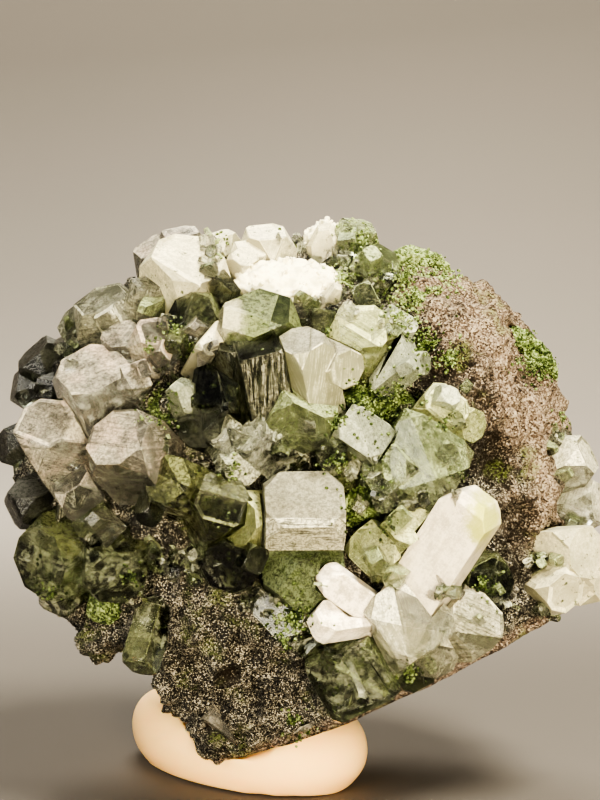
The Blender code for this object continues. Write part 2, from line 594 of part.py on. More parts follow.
def crusts(ground):
    """Green and white crusts, each with a socket in the rock."""
    surfaces = {"green": material("celadonite", GREEN, 0.9), "white": material("white_zeolite", CREAM, 0.6)}
    made = []
    for name, place, size, turn in CRUSTS:
        middle = ground.seen_at(place)
        near, normal, _, _ = ground.tree.find_nearest(middle)
        across = Matrix.Rotation(math.radians(turn), 3, faced((0, 0, 1))) @ faced((1, 0, 0))
        matrix = frame_of(near, normal, across)
        crust = new_object(name, crust_shape(matrix, size, 0.0), surfaces[name.split("_")[0]])
        socket = new_object(name + "_socket", crust_shape(matrix, size, GAP))
        made.append((crust, socket))
    return made


def pad_profile():
    """Half of the pad's section, from the middle of the dish over its rim to the middle of the foot."""
    radius = PAD_HEIGHT / 2
    reach = PAD_LENGTH / 2
    points = [(0, PAD_HEIGHT - PAD_DISH), (reach * 0.42, PAD_HEIGHT - PAD_DISH * 0.7)]
    for i in range(PAD_ARC_POINTS):
        angle = math.pi / 2 - math.radians(148) * i / (PAD_ARC_POINTS - 1)
        points.append((reach - radius * (1 - math.cos(angle)), radius + radius * math.sin(angle)))
    points.append((reach - PAD_FOOT_INSET, 0))
    points.append((0, 0))
    return points


def pad():
    """The smooth oval pad: a turned cushion narrowed in one direction."""
    bm = bmesh.new()
    corners = [bm.verts.new((x, 0, z)) for x, z in pad_profile()]
    for a, b in zip(corners, corners[1:]):
        bm.edges.new((a, b))
    bmesh.ops.spin(
        bm, geom=[*bm.verts, *bm.edges], axis=(0, 0, 1), cent=(0, 0, 0), dvec=(0, 0, 0),
        angle=math.tau, steps=PAD_STEPS, use_merge=True,
    )
    bmesh.ops.remove_doubles(bm, verts=bm.verts, dist=0.01 * MM)
    bmesh.ops.scale(bm, vec=(1, PAD_WIDTH / PAD_LENGTH, 1), verts=bm.verts)
    bmesh.ops.rotate(bm, cent=(0, 0, 0), matrix=Matrix.Rotation(PAD_TURN, 3, "Z"), verts=bm.verts)
    bmesh.ops.translate(bm, vec=(*PAD_CENTRE, 0), verts=bm.verts)
    return new_object("display_pad", bm, material("pad", BEIGE, 0.55))


def cut_from(target, cutters):
    for cutter in cutters:
        if boxes_meet(target, cutter):
            boolean(target, cutter, "DIFFERENCE")


def centre_on_foot(parts):
    """Moves everything so that the origin is the middle of the underside."""
    boxes = [box_of(made) for made in parts]
    low = Vector(min(b[0][i] for b in boxes) for i in range(3))
    high = Vector(max(b[1][i] for b in boxes) for i in range(3))
    shift = Vector((-(low.x + high.x) / 2, -(low.y + high.y) / 2, -low.z))
    for made in parts:
        made.data.transform(Matrix.Translation(shift))


def main():
    for old in list(bpy.data.objects):
        bpy.data.objects.remove(old)
    matrix = rock()
    ground = Ground(matrix)
    rest = inflated(matrix, "rock_rest", GAP)

    blades = stilbite(ground)
    crystals = front_apophyllite(ground)
    rear = rear_apophyllite(ground, on_plane(ROCK_MIDDLE))
    covers = crusts(ground)
    base = pad()

    kept = []
    earlier = []
    for solid, socket in [*blades, *crystals, *rear, *covers]:
        cut_from(solid, earlier)
        kept.append(solid)
        earlier.append(socket)
    cut_from(matrix, earlier)
    cut_from(base, [rest, *earlier])
    for helper in [rest, *earlier]:
        remove(helper)

    parts = [matrix, *kept, base]
    for made in parts:
        tidy(made)
    centre_on_foot(parts)


main()
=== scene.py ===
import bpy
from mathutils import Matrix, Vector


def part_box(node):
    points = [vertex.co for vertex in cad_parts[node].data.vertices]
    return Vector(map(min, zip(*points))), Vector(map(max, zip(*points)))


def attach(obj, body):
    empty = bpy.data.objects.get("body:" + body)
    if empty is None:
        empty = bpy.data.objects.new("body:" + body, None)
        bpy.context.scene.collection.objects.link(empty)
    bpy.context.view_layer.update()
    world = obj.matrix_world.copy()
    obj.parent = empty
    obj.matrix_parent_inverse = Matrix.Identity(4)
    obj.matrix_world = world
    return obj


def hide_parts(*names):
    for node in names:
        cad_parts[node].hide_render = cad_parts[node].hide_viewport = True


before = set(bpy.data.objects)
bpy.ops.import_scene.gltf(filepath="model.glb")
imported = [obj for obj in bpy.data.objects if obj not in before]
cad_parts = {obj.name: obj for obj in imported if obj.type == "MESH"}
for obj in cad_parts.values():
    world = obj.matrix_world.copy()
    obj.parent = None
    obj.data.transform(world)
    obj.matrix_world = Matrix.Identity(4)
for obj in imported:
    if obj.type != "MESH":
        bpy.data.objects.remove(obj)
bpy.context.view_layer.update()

import math
import random

import bmesh
import bpy
from mathutils import Matrix, Vector, noise
from mathutils.bvhtree import BVHTree

mm = 0.001
rnd = random.Random(7)
print("frame loaded:", len(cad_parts), "nodes")


# places on the crystal face
# A place is (right, up) in mm on the upright plane through the middle of the rock, as the camera sees it.
eyeSettings = {
    "distance": 254 * mm,
    "height": 73.5 * mm,
    "padPlace": (-8.4 * mm, 8.0 * mm),  # the pad's middle in plan, seen from the middle of the rock
    "tiltDown": 3.4,
    "lens": 50.73,
    "sensor": 24,
}

padLow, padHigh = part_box("display_pad")
planeMiddle = (padLow + padHigh) / 2 - Vector((*eyeSettings["padPlace"], 0))
planeMiddle.z = 0
eye = planeMiddle + Vector((0, -eyeSettings["distance"], eyeSettings["height"]))


def onPlane(place):
    return planeMiddle + Vector((place[0] * mm, 0, place[1] * mm))


def sightOf(place):
    return (onPlane(place) - eye).normalized()


def faced(direction):  # right, up, towards the eye
    return Vector((direction[0], -direction[2], direction[1])).normalized()


# shader maths
class Wire:
    # one socket of a material's nodes; sums on it add Math nodes
    def __init__(self, material, socket=None):
        self.material = material
        self.socket = socket

    def node(self, kind, settings, sockets, output=0):
        tree = self.material.node_tree
        made = tree.nodes.new("ShaderNode" + kind)
        for key, value in settings.items():
            if key == "stops":
                elements = made.color_ramp.elements
                while len(elements) < len(value):
                    elements.new(0.5)
                for element, (at, colour) in zip(elements, value):
                    element.position = at
                    element.color = (*colour, 1)
            else:
                setattr(made, key, value)
        for key, value in sockets.items():
            if isinstance(value, Wire):
                tree.links.new(value.socket, made.inputs[key])
            elif made.inputs[key].type == "RGBA":
                made.inputs[key].default_value = (*value, 1)
            else:
                made.inputs[key].default_value = value
        return Wire(self.material, made.outputs[output])

    def math(self, operation, first, second):
        return self.node("Math", {"operation": operation}, {0: first, 1: second})

    def __add__(self, other):
        return self.math("ADD", self, other)

    def __sub__(self, other):
        return self.math("SUBTRACT", self, other)

    def __rsub__(self, other):
        return self.math("SUBTRACT", other, self)

    def __mul__(self, other):
        return self.math("MULTIPLY", self, other)

    def __truediv__(self, other):
        return self.math("DIVIDE", self, other)

    def __pow__(self, other):
        return self.math("POWER", self, other)

    __radd__ = __add__
    __rmul__ = __mul__

    def atLeast(self, other):
        return self.math("MAXIMUM", self, other)

    def atMost(self, other):
        return self.math("MINIMUM", self, other)

    def between(self, low, high):  # 0 below low, 1 above high, smooth between
        return self.node("MapRange", {"interpolation_type": "SMOOTHSTEP"}, {0: self, 1: low, 2: high})

    def mix(self, none, full):  # one colour where this is 0, the other where it is 1
        return self.node("Mix", {"data_type": "RGBA"}, {0: self, 6: none, 7: full}, 2)

    def ramp(self, stops):  # stops are values, each with its colour
        return self.node("ValToRGB", {"stops": stops}, {0: self})

    def axis(self, letter):
        return self.node("SeparateXYZ", {}, {0: self}, "XYZ".index(letter))

    def attribute(self, name):
        return self.node("Attribute", {"attribute_name": name}, {}, 2)

    def noise(self, size, detail=3.0, rough=0.55, stretch=None, wobble=0.0):
        place = self.node("Mapping", {}, {"Vector": self, "Scale": stretch}) if stretch else self
        return self.node("TexNoise", {}, {
            "Vector": place, "Scale": 1 / size, "Detail": detail, "Roughness": rough, "Distortion": wobble})

    def cells(self, size):  # one random number from 0 to 1 for each small cell
        colour = self.node("TexVoronoi", {}, {"Vector": self, "Scale": 1 / size}, 1)
        return self.node("SeparateColor", {}, {0: colour})

    def bump(self, strength, distance):
        return self.node("Bump", {}, {"Strength": strength, "Distance": distance, "Height": self})

    def shader(self, sockets):
        return self.node("BsdfPrincipled", {}, sockets)


def newMaterial(name):  # gives the places on the piece that it will cover
    material = bpy.data.materials.new(name)
    material.use_nodes = True
    material.node_tree.nodes.clear()
    return Wire(material).node("TexCoord", {}, {}, 3)


def finished(surface, volume=None):  # gives the material
    tree = surface.material.node_tree
    out = tree.nodes.new("ShaderNodeOutputMaterial")
    tree.links.new(surface.socket, out.inputs["Surface"])
    if volume:
        tree.links.new(volume.socket, out.inputs["Volume"])
    return surface.material


def awayFrom(place, at, squash=1.0):  # how far aside and above a point each place is
    aside = place.axis("X") - at.x
    above = (place.axis("Z") - at.z) * squash
    return (aside * aside + above * above) ** 0.5


def spotOf(place, at, radius):  # 1 in a round patch about a point, 0 outside, soft between
    ragged = place.noise(1.6 * mm, 4, 0.65) * 3.2 - 1.6
    return (awayFrom(place, at) / radius + ragged * 0.45).between(1.15, 0.6)


# meshes
meshSettings = {
    "merge": 0.0005 * mm,  # corners nearer than this become one
    "mergeFlat": 0.02 * mm,  # the same where triangles are joined to whole faces
    "flat": math.radians(1.5),
    "anyTurn": (0, 6.3),
    "batchOf": 60,
}


def copyOfNode(name, merge=meshSettings["merge"]):
    bm = bmesh.new()
    bm.from_mesh(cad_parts[name].data)
    bmesh.ops.remove_doubles(bm, verts=bm.verts, dist=merge)
    return bm


def wholeFacesOf(name):  # the same with whole faces in place of triangles
    bm = copyOfNode(name, meshSettings["mergeFlat"])
    bmesh.ops.dissolve_limit(bm, angle_limit=meshSettings["flat"], verts=bm.verts, edges=bm.edges)
    bm.normal_update()
    return bm


def meshOf(name, bm):
    mesh = bpy.data.meshes.new(name)
    bm.to_mesh(mesh)
    bm.free()
    return mesh


def objectOf(name, data):
    made = bpy.data.objects.new(name, data)
    bpy.context.scene.collection.objects.link(made)
    return made


def makePiece(name, bm, material, slotName, stands=(), smooth=False):
    mesh = meshOf(name, bm)
    mesh.materials.append(material)
    if smooth:
        mesh.shade_smooth()
    piece = objectOf(name, mesh)
    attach(piece, "root")
    if stands:
        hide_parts(*stands)
    return piece


def applyModifiers(piece):
    graph = bpy.context.evaluated_depsgraph_get()
    mesh = bpy.data.meshes.new_from_object(piece.evaluated_get(graph))
    piece.modifiers.clear()
    piece.data = mesh


def roughen(piece, voxel, moveOf):  # an even fine mesh, each of its points moved
    remesh = piece.modifiers.new("Remesh", "REMESH")
    remesh.mode = "VOXEL"
    remesh.voxel_size = voxel
    remesh.use_smooth_shade = True
    applyModifiers(piece)
    bm = bmesh.new()
    bm.from_mesh(piece.data)
    bm.normal_update()
    for v in bm.verts:
        v.co += moveOf(v)
    bm.to_mesh(piece.data)
    bm.free()
    piece.data.shade_smooth()


def cutBy(bm, at, normal, **ends):  # gives what lies in the cut
    geometry = [*bm.verts, *bm.edges, *bm.faces]
    return bmesh.ops.bisect_plane(bm, geom=geometry, plane_co=at, plane_no=normal, **ends)["geom_cut"]


def wearEdges(bm, sharpest, offset, segments=1):  # gives the narrow new faces
    sharp = [e for e in bm.edges if e.is_manifold and e.calc_face_angle() > sharpest]
    worn = bmesh.ops.bevel(bm, geom=sharp, offset=offset, affect="EDGES", segments=segments, profile=0.5,
                           material=-1, clamp_overlap=True)
    bm.normal_update()
    return worn["faces"]


def treeOf(names):  # a search tree of solids, and which solid each triangle is of
    points, triangles, owner = [], [], []
    for name in names:
        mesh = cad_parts[name].data
        base = len(points)
        points += [v.co.copy() for v in mesh.vertices]
        for polygon in mesh.polygons:
            triangles.append([base + i for i in polygon.vertices])
            owner.append(name)
    return BVHTree.FromPolygons(points, triangles), owner


solidNames = sorted(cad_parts)
allTree, allOwner = treeOf([n for n in solidNames if n != "display_pad"])


def seenAt(place):  # what the camera sees at a place: point, normal, solid
    hit, normal, index, _ = allTree.ray_cast(eye, sightOf(place))
    return hit, normal, hit and allOwner[index]


def pour(part, whole):  # adds one mesh to another
    mesh = meshOf("part", part)
    whole.from_mesh(mesh)
    bpy.data.meshes.remove(mesh)


class Batch:
    # many small shapes in one mesh; bmesh slows down as it grows, so they are made a few at a time
    def __init__(self):
        self.whole = bmesh.new()
        self.part = bmesh.new()
        self.count = 0

    def room(self):
        self.count += 1
        if self.count % meshSettings["batchOf"] == 0:
            pour(self.part, self.whole)
            self.part = bmesh.new()
        return self.part

    def done(self):
        pour(self.part, self.whole)
        return self.whole


def held(value, low, high):
    return min(high, max(low, value))


def leaning(axis, most):
    return (axis + Vector(rnd.uniform(-most, most) for _ in range(3))).normalized()


def turnTo(axis):  # up becomes the axis, with any turn about it
    spin = Matrix.Rotation(rnd.uniform(*meshSettings["anyTurn"]), 4, "Z")
    return axis.to_track_quat("Z", "Y").to_matrix().to_4x4() @ spin


def lump(batch, at, axis, *sizes):  # a grain: a squashed ball of 20 faces
    matrix = Matrix.Translation(at) @ turnTo(axis) @ Matrix.Diagonal((*sizes, 1))
    bmesh.ops.create_icosphere(batch.room(), subdivisions=1, radius=1, matrix=matrix)


def chunk(bm, at, axis, size, corner):  # a crystal of this kind: a square block with its corners cut off
    matrix = Matrix.Translation(at) @ turnTo(axis) @ Matrix.Diagonal((*size, 1))
    made = bmesh.ops.create_cube(bm, size=1, matrix=matrix)
    bmesh.ops.bevel(bm, geom=made["verts"], offset=min(size) * corner, affect="VERTICES", segments=1,
                    profile=0.5, material=-1, clamp_overlap=True)


def shard(bm, at, axis, width, length):  # a crystal that ends in a steep pyramid
    matrix = Matrix.Translation(at) @ turnTo(axis) @ Matrix.Diagonal((1, rnd.uniform(0.6, 1), 1, 1))
    bmesh.ops.create_cone(bm, cap_ends=True, segments=4, radius1=width * 0.75,
                          radius2=width * rnd.uniform(0.1, 0.4), depth=length, matrix=matrix)


def smallCrystal(bm, at, axis, width, length):
    if rnd.random() < 0.5:
        shard(bm, at, axis, width, length)
    else:
        chunk(bm, at, axis, (width, width * rnd.uniform(0.7, 1.0), length), rnd.uniform(0.15, 0.4))


# basalt
# the flat break under the rock: two places on its front edge, and how far in front of the middle plane it is
breakEdge = ((4.5, 9.5), (45.5, 30))
breakFront = 12 * mm
breakStart, breakEnd = (
    eye + (onPlane(place) - eye) * (1 - breakFront / eyeSettings["distance"]) for place in breakEdge)
breakRun = breakEnd - breakStart
breakInward = Vector((-breakRun.z, 0, breakRun.x)).normalized()

rockSettings = {
    "breakCalm": 2.0 * mm,  # how far in from the flat break the lumps fade in
    "breakBand": 1.6 * mm,  # the brown band along the break
    "voxel": 0.5 * mm,
    "keptFaces": 0.86,
    "lumps": 1.3 * mm,  # heights of the lumps, the drusy hummocks, the grit and the fine grain
    "hummocks": 1.5 * mm,
    "grit": 0.75 * mm,
    "fine": 0.25 * mm,
    "grain": 0.24 * mm,  # how wide a grain and a sparkling point look
    "point": 0.15 * mm,
    "drusyTo": 50,  # towards the upper right in mm: hummocks end, granules begin, the brown sets in
    "granulesFrom": 57,
    "weathered": (68, 76),
    "rosy": (36, 58),  # heights in mm over which the brown rock grows paler
    "druse": ((0.42, (0.005, 0.0045, 0.004)), (0.55, (0.018, 0.016, 0.012)),
              (0.61, (0.080, 0.072, 0.054)), (0.70, (0.40, 0.37, 0.29))),
    "tan": ((0.32, (0.0242, 0.0168, 0.011)), (0.43, (0.0884, 0.0634, 0.0451)),
            (0.54, (0.2, 0.155, 0.112)), (0.70, (0.335, 0.282, 0.204))),
    "umber": ((0.36, (0.010, 0.007, 0.005)), (0.47, (0.058, 0.041, 0.030)),
              (0.58, (0.19, 0.143, 0.107)), (0.72, (0.42, 0.35, 0.26))),
    # near-black colour of the painted shade in the hollows
    "hollow": (0.012, 0.009, 0.006),
    "green": (0.10, 0.13, 0.03),
}

# hollows: place, radius and depth in mm, and how dark the painted shade in them is
hollows = (
    ((19, 67.5), 2.4, 1.2, 0.7), ((24, 63.5), 2.8, 1.6, 0.8), ((20, 62.5), 2.4, 1.4, 0.8),
    ((27, 57.5), 3, 1.4, 0.7), ((24.5, 51.5), 2.6, 1, 0.6), ((28.5, 50.5), 3.2, 2, 0.9),
    ((30.5, 47), 1.8, 1.2, 0.7), ((32.5, 40), 3.6, 1.2, 0.75), ((32, 33), 3.6, 0.8, 0.6),
    ((33.5, 61), 1.2, 0.6, 0.5), ((-11, 16.5), 1.7, 3.6, 1), ((-12.6, 8.6), 2, 2.4, 0.9),
    ((-17.5, 23), 1.8, 1.2, 0.4), ((-17, 35.5), 3.4, 0.5, 0.6), ((-12, 33), 3, 0.5, 0.6),
    ((-6.5, 12.5), 2, 1, 0.4),
)
pits = [(seenAt(place)[0], radius * mm, depth * mm, paintedShadeStrength) for place, radius, depth, paintedShadeStrength in hollows]


def upperRight(right, height):  # how far a place lies towards the weathered corner
    return right + height * 0.5


def basaltMaterial():
    s = rockSettings
    place = newMaterial("basalt")
    right = place.axis("X") / mm
    height = place.axis("Z") / mm
    patch = place.noise(8 * mm, 4)
    lumps = place.noise(2.4 * mm, 5, 0.65)
    fine = place.noise(0.3 * mm, 3, 0.7)
    grain = place.cells(s["grain"])
    point = place.cells(s["point"])
    # painted shade in the hollows: the rock is darker there and loses its rosy tint
    paintedShade = 0
    for at, radius, _, paintedShadeStrength in pits:
        paintedShade = spotOf(place, at, radius * 1.25) * paintedShadeStrength + paintedShade
    paintedShade = paintedShade.atMost(1)
    druse = (point * 0.45 + lumps * 0.55).ramp(s["druse"])
    mottled = grain * 0.35 + lumps * 0.35 + fine * 0.3
    umber = mottled.ramp(s["umber"])
    rosy = (height + patch * 14).between(*s["rosy"]) * (1 - paintedShade)
    weathered = (upperRight(right, height) + patch * 22 + lumps * 14).between(*s["weathered"])
    colour = weathered.mix(druse, rosy.mix(umber, mottled.ramp(s["tan"])))
    # painted shade: the hollows go near black, keeping a few specks
    colour = (paintedShade * (0.35 + grain.between(0.95, 0.6) * 0.6)).mix(colour, s["hollow"])
    slope = breakRun.z / breakRun.x
    inside = (height - breakStart.z / mm - (right - breakStart.x / mm) * slope) * math.cos(math.atan(slope))
    band = s["breakBand"] / mm
    colour = (inside + lumps * 1.5).between(band + 1.4, band + 0.4).mix(colour, umber)
    mossy = place.noise(6 * mm, 3).between(0.54, 0.66) * grain.between(0.3, 0.6) * 0.5
    return finished(place.shader({
        "Base Color": mossy.mix(colour, s["green"]), "Roughness": 0.75 - grain.between(0.55, 0.9) * 0.45,
        "Normal": (grain * 0.5 + lumps + fine * 0.4).bump(1, 0.5 * mm)}))


def rockMove(v):  # lumps, hummocks on the druse, hollows and grit, and less of all near the break
    s = rockSettings
    place = v.co / mm
    away = noise.fractal(place / 5.0, 0.9, 2.0, 3) * s["lumps"]
    if upperRight(place.x, place.z) < s["drusyTo"]:
        away += noise.noise(place / 2.6) * s["hummocks"]
    for at, radius, depth, _ in pits:
        reach = (v.co - at).length / (radius * 1.2)
        if reach < 1:
            away -= depth * (1 - reach * reach) ** 2
    grain = noise.noise(place / 1.5) * s["grit"] + noise.noise(place / 0.7) * s["fine"]
    inside = (v.co - breakStart).dot(breakInward)
    return v.normal * (away + grain) * min(1.0, max(0.0, inside / s["breakCalm"]) + 0.04)


def buildRock(basalt):
    bm = copyOfNode("basalt_matrix")
    rock = makePiece("basaltRock", bm, basalt, "basalt", ["basalt_matrix"], smooth=True)
    roughen(rock, rockSettings["voxel"], rockMove)
    print("rock:", len(rock.data.polygons), "faces")
    return rock


def thinOut(rock):  # fewer faces, once the grains stand on them
    thinner = rock.modifiers.new("Decimate", "DECIMATE")
    thinner.ratio = rockSettings["keptFaces"]
    applyModifiers(rock)
    rock.data.shade_smooth()


# drusy grains on the rock
grainSettings = {
    "count": 44000,
    "crowding": (6.0, 1.6, 0.7),  # on the low front, on the rest of the front, elsewhere
    "lowFront": (6, 36),  # how far right and up the low front reaches in mm
    "clearOfBreak": 1.2 * mm,
    "size": (0.08 * mm, 0.22 * mm),
    "width": 0.22 * mm,  # how wide a grain's colour reaches
    "darkest": (0.006, 0.0055, 0.005),
    "brightest": (0.39, 0.365, 0.285),
}


def drusyMaterial():
    s = grainSettings
    place = newMaterial("drusyQuartz")
    patch = place.noise(2.2 * mm, 3, 0.6).between(0.36, 0.60)
    bright = place.cells(s["width"]).between(0.50, 0.92) * (0.3 + patch * 0.7)
    return finished(place.shader({
        "Base Color": bright.mix(s["darkest"], s["brightest"]), "Roughness": 0.18, "IOR": 1.55}))


def crowdingAt(face):
    onLowFront, onFront, elsewhere = grainSettings["crowding"]
    right, up = grainSettings["lowFront"]
    at = face.center / mm
    if face.normal.y >= 0.2 or at.y >= 14:
        return elsewhere
    return onLowFront if at.x < right and at.z < up else onFront


def buildGrains(rock, basalt):  # sharp sparkling points below, weathered granules on the right
    s = grainSettings
    drusy, weathered = Batch(), Batch()
    faces = [f for f in rock.data.polygons if f.normal.z > -0.8]
    weights = [face.area * crowdingAt(face) for face in faces]
    for face in rnd.choices(faces, weights=weights, k=s["count"]):
        middle = face.center
        if (middle - breakStart).dot(breakInward) < s["clearOfBreak"]:
            continue
        # fewer bright grains in the hollows, as part of their painted shade
        if any((middle - pit).length < radius and rnd.random() < dark for pit, radius, _, dark in pits):
            continue
        lean = leaning(face.normal, 0.6)
        size = rnd.uniform(*s["size"])
        at = middle / mm
        if upperRight(at.x, at.z) > rockSettings["granulesFrom"]:
            if rnd.random() < 0.8:
                lump(weathered, middle, lean, size, size * 0.8, size * 0.7)
        else:
            matrix = Matrix.Translation(middle + lean * size * 0.4) @ turnTo(lean)
            bmesh.ops.create_cone(drusy.room(), cap_ends=False, segments=4, radius1=size * 0.8, radius2=0,
                                  depth=size * 1.7, matrix=matrix)
    for name, batch, material in (
            ("drusyGrains", drusy, drusyMaterial()), ("rockGranules", weathered, basalt)):
        bm = batch.done()
        bmesh.ops.remove_doubles(bm, verts=bm.verts, dist=0.00001 * mm)
        makePiece(name, bm, material, "basalt")
        print(name, batch.count)


# crystals
# a row for each look: the veil's pale and deep colour, its least and greatest share of a face, striation,
# green patches, how softly deep goes over into pale, and the colour and density of the glass
lookColumns = ("pale", "deep", "cover", "stripes", "moss", "soft", "absorb", "density")
lookRows = {
    "frost": ((0.6, 0.54, 0.41), (0.115, 0.112, 0.09), (0.42, 0.88), 0.25, 0, 0.12, (0.8, 0.84, 0.78), 60),
    # painted shade: a near-black copy of frost for the crystals on the shaded left rim
    "dim": ((0.07, 0.07, 0.055), (0.008, 0.008, 0.006), (0.4, 0.8), 0.2, 0, 0.12, (0.45, 0.5, 0.36), 300),
    "dark": ((0.07, 0.075, 0.045), (0.006, 0.007, 0.004), (0.02, 0.3), 0.3, 0.3, 0.12,
             (0.4, 0.45, 0.27), 480),
    "cream": ((0.9, 0.84, 0.59), (0.66, 0.62, 0.42), (0.66, 0.94), 0.15, 0.15, 0.15,
              (0.85, 0.84, 0.58), 60),
    "facet": ((0.6, 0.62, 0.46), (0.26, 0.29, 0.2), (0.5, 0.85), 0.05, 0, 0.18, (0.66, 0.74, 0.46), 110),
    "striped": ((0.46, 0.45, 0.33), (0.014, 0.017, 0.009), (0.4, 0.85), 1, 0, 0.08, (0.6, 0.66, 0.42), 190),
    "prism": ((0.88, 0.84, 0.61), (0.42, 0.42, 0.27), (0.72, 0.95), 0.6, 0.05, 0.12,
              (0.74, 0.78, 0.52), 90),
    "silver": ((0.72, 0.69, 0.51), (0.075, 0.075, 0.045), (0.4, 0.85), 0.8, 0.15, 0.065,
               (0.74, 0.78, 0.52), 90),
    "clear": ((0.74, 0.75, 0.55), (0.08, 0.09, 0.05), (0.12, 0.5), 0.5, 0.5, 0.09, (0.8, 0.84, 0.64), 70),
    "green": ((0.22, 0.24, 0.105), (0.012, 0.016, 0.006), (0.08, 0.45), 0.3, 0.6, 0.11,
              (0.52, 0.58, 0.36), 220),
    "olive": ((0.24, 0.25, 0.105), (0.022, 0.026, 0.009), (0.2, 0.55), 0.3, 0.5, 0.13,
              (0.54, 0.58, 0.3), 180),
    "satin": ((0.36, 0.345, 0.25), (0.17, 0.165, 0.115), (0.5, 0.85), 0.1, 0.1, 0.16,
              (0.74, 0.78, 0.52), 90),
    "slate": ((0.38, 0.37, 0.27), (0.06, 0.062, 0.04), (0.3, 0.75), 0.7, 0.1, 0.12,
              (0.62, 0.66, 0.46), 140),
    "dome": ((0.21, 0.24, 0.105), (0.03, 0.045, 0.014), (0.45, 0.75), 0.1, 0.3, 0.14,
             (0.54, 0.62, 0.3), 170),
    "globe": ((0.19, 0.23, 0.12), (0.018, 0.026, 0.01), (0.5, 0.8), 0.1, 0.9, 0.13, (0.54, 0.6, 0.3), 180),
    "mossy": ((0.41, 0.47, 0.24), (0.026, 0.035, 0.013), (0.15, 0.45), 0.2, 1, 0.1,
              (0.54, 0.62, 0.34), 170),
    "cloud": ((0.5, 0.56, 0.31), (0.12, 0.155, 0.055), (0.15, 0.62), 0.2, 0.6, 0.13,
              (0.72, 0.8, 0.46), 100),
    "lime": ((0.74, 0.75, 0.42), (0.28, 0.31, 0.13), (0.45, 0.88), 0.3, 0.45, 0.13, (0.76, 0.82, 0.44), 80),
    "pearl": ((0.84, 0.8, 0.62), (0.29, 0.29, 0.18), (0.3, 0.8), 0.4, 0.3, 0.13, (0.88, 0.88, 0.72), 50),
}
looks = {name: dict(zip(lookColumns, row)) for name, row in lookRows.items()}
looks["frost"]["pink"] = 0.5  # rosy patches
looks["dome"]["patch"] = ((-11.2, 70.8), 3.0, (0.60, 0.56, 0.37))  # place, radius in mm, colour

# node: look, moss grains inside, inner veils
crystalPlan = {
    "left_front": ("frost", 0, 3), "left_pair": ("frost", 0, 3), "left_upper": ("frost", 10, 3),
    # left_rim, left_edge and left_foot take the near-black look of painted shade
    "fallen_slab": ("cream", 0, 1), "shoulder": ("slate", 20, 3), "left_rim": ("dim", 0, 1),
    "left_edge": ("dim", 0, 1), "left_foot": ("dim", 0, 1), "left_shelf": ("green", 10, 3),
    "left_lower": ("green", 60, 4), "under_left": ("green", 10, 1), "crown_left": ("cream", 10, 1),
    "crown_rim": ("frost", 10, 2), "crown_mid": ("green", 20, 2), "crown_back": ("cream", 10, 2),
    "crown_dome": ("dome", 30, 1), "striped_prism": ("striped", 10, 3), "pale_prism": ("prism", 0, 2),
    "eye": ("lime", 20, 2), "knife_pair": ("facet", 10, 0), "frosted_step": ("cloud", 0, 2),
    "clear_hook": ("clear", 10, 5), "left_point": ("facet", 0, 0), "dark_block": ("dark", 20, 3),
    "mid_plate": ("facet", 20, 0), "moss_leaf": ("green", 60, 1), "big_dome": ("pearl", 50, 1),
    "olive_pair": ("olive", 70, 1), "v_crystal": ("lime", 20, 2), "shadow_block": ("dark", 10, 2),
    "right_small": ("lime", 20, 2), "cloud_block": ("cloud", 60, 6), "pale_shard": ("lime", 10, 4),
    "mossy_step": ("clear", 60, 2), "square_foot": ("mossy", 200, 3), "fan_blocks": ("pearl", 20, 2),
    "green_window": ("green", 20, 2), "right_wall": ("pearl", 20, 3), "right_corner": ("cream", 10, 4),
    "crest": ("cloud", 30, 2), "rear_01": ("cloud", 10, 2), "rear_02": ("green", 20, 2),
    "rear_03": ("clear", 10, 2), "rear_04": ("frost", 0, 2), "rear_05": ("green", 20, 2),
    "rear_06": ("cloud", 10, 2), "rear_07": ("frost", 0, 2), "rear_08": ("clear", 20, 2),
}

# pieces with more looks than one: on the faces below a place, or on those that face up more than a share;
# the look, the streaks and the frosting there
moreLooks = {
    "big_dome": (("below", (0.0, 50.0), "satin", 0.05, 0.7), ("below", (0.0, 40.6), "silver", 1.0, 0.75),
                 ("below", (0.0, 35.6), "globe", 0.1, 0.7)),
    "striped_prism": (("facing up", 0.45, "green", 0.2, 0.4),),
    "pale_prism": (("facing up", 0.45, "satin", 0.8, 0.8),),
}

# prisms whose striation runs along them: the way they point (right, up, towards the eye)
prismAxes = {
    "striped_prism": (-0.13, 1.0, 0.0),
    "pale_prism": (-0.13, 1.0, 0.0),
    "dark_block": (0.10, 1.0, 0.0),
}

# ridges that part a broad face in two: a place on the ridge, the way across it (right, up), its height in mm
ridges = (
    ((-25, 51), (0.05, 1), 0.9), ((-23, 47.5), (1, 0.2), 0.6), ((-30.7, 59.5), (-0.1, 1), 0.7),
    ((-36.5, 51), (0.3, 1), 0.8), ((0.5, 42.4), (0.2, 1), 1), ((-12, 44), (0.3, 1), 0.7),
    ((9, 68.2), (0.6, 1), 0.6), ((10.5, 67), (-0.8, 1), 0.4), ((18.7, 50.9), (1, 0.4), 0.9),
    ((22, 47), (-0.3, 1), 0.7), ((15, 26), (1, 0.2), 0.8), ((17, 24), (0.2, 1), 0.6),
    ((24.7, 25.2), (0.5, 1), 0.6), ((-6.4, 70.8), (0.3, 1), 0.8), ((-4.5, 70), (-1, 0.3), 0.6),
    ((-17.2, 76.8), (0.6, 1), 0.8), ((21.7, 37.3), (0.83, -0.55), 0.4), ((-33, 34.2), (0.4, 1), 0.7),
    ((40.5, 32), (0.3, 1), 0.8), ((39.7, 46.3), (1, 0.1), 0.7), ((9.9, 52.3), (1, 0.3), 0.5),
    ((-17.2, 44), (0.8, 0.5), 0.5), ((1.5, 63.7), (1, -0.1), 0.5), ((8.2, 16), (0.6, 1), 0.6),
)

# edges worn back more than the others, so their pale strips, partly wear and partly a painted highlight, are
# wider
wideEdges = {"clear_hook": 2.0, "v_crystal": 1.4, "frosted_step": 1.5, "moss_leaf": 1.5}

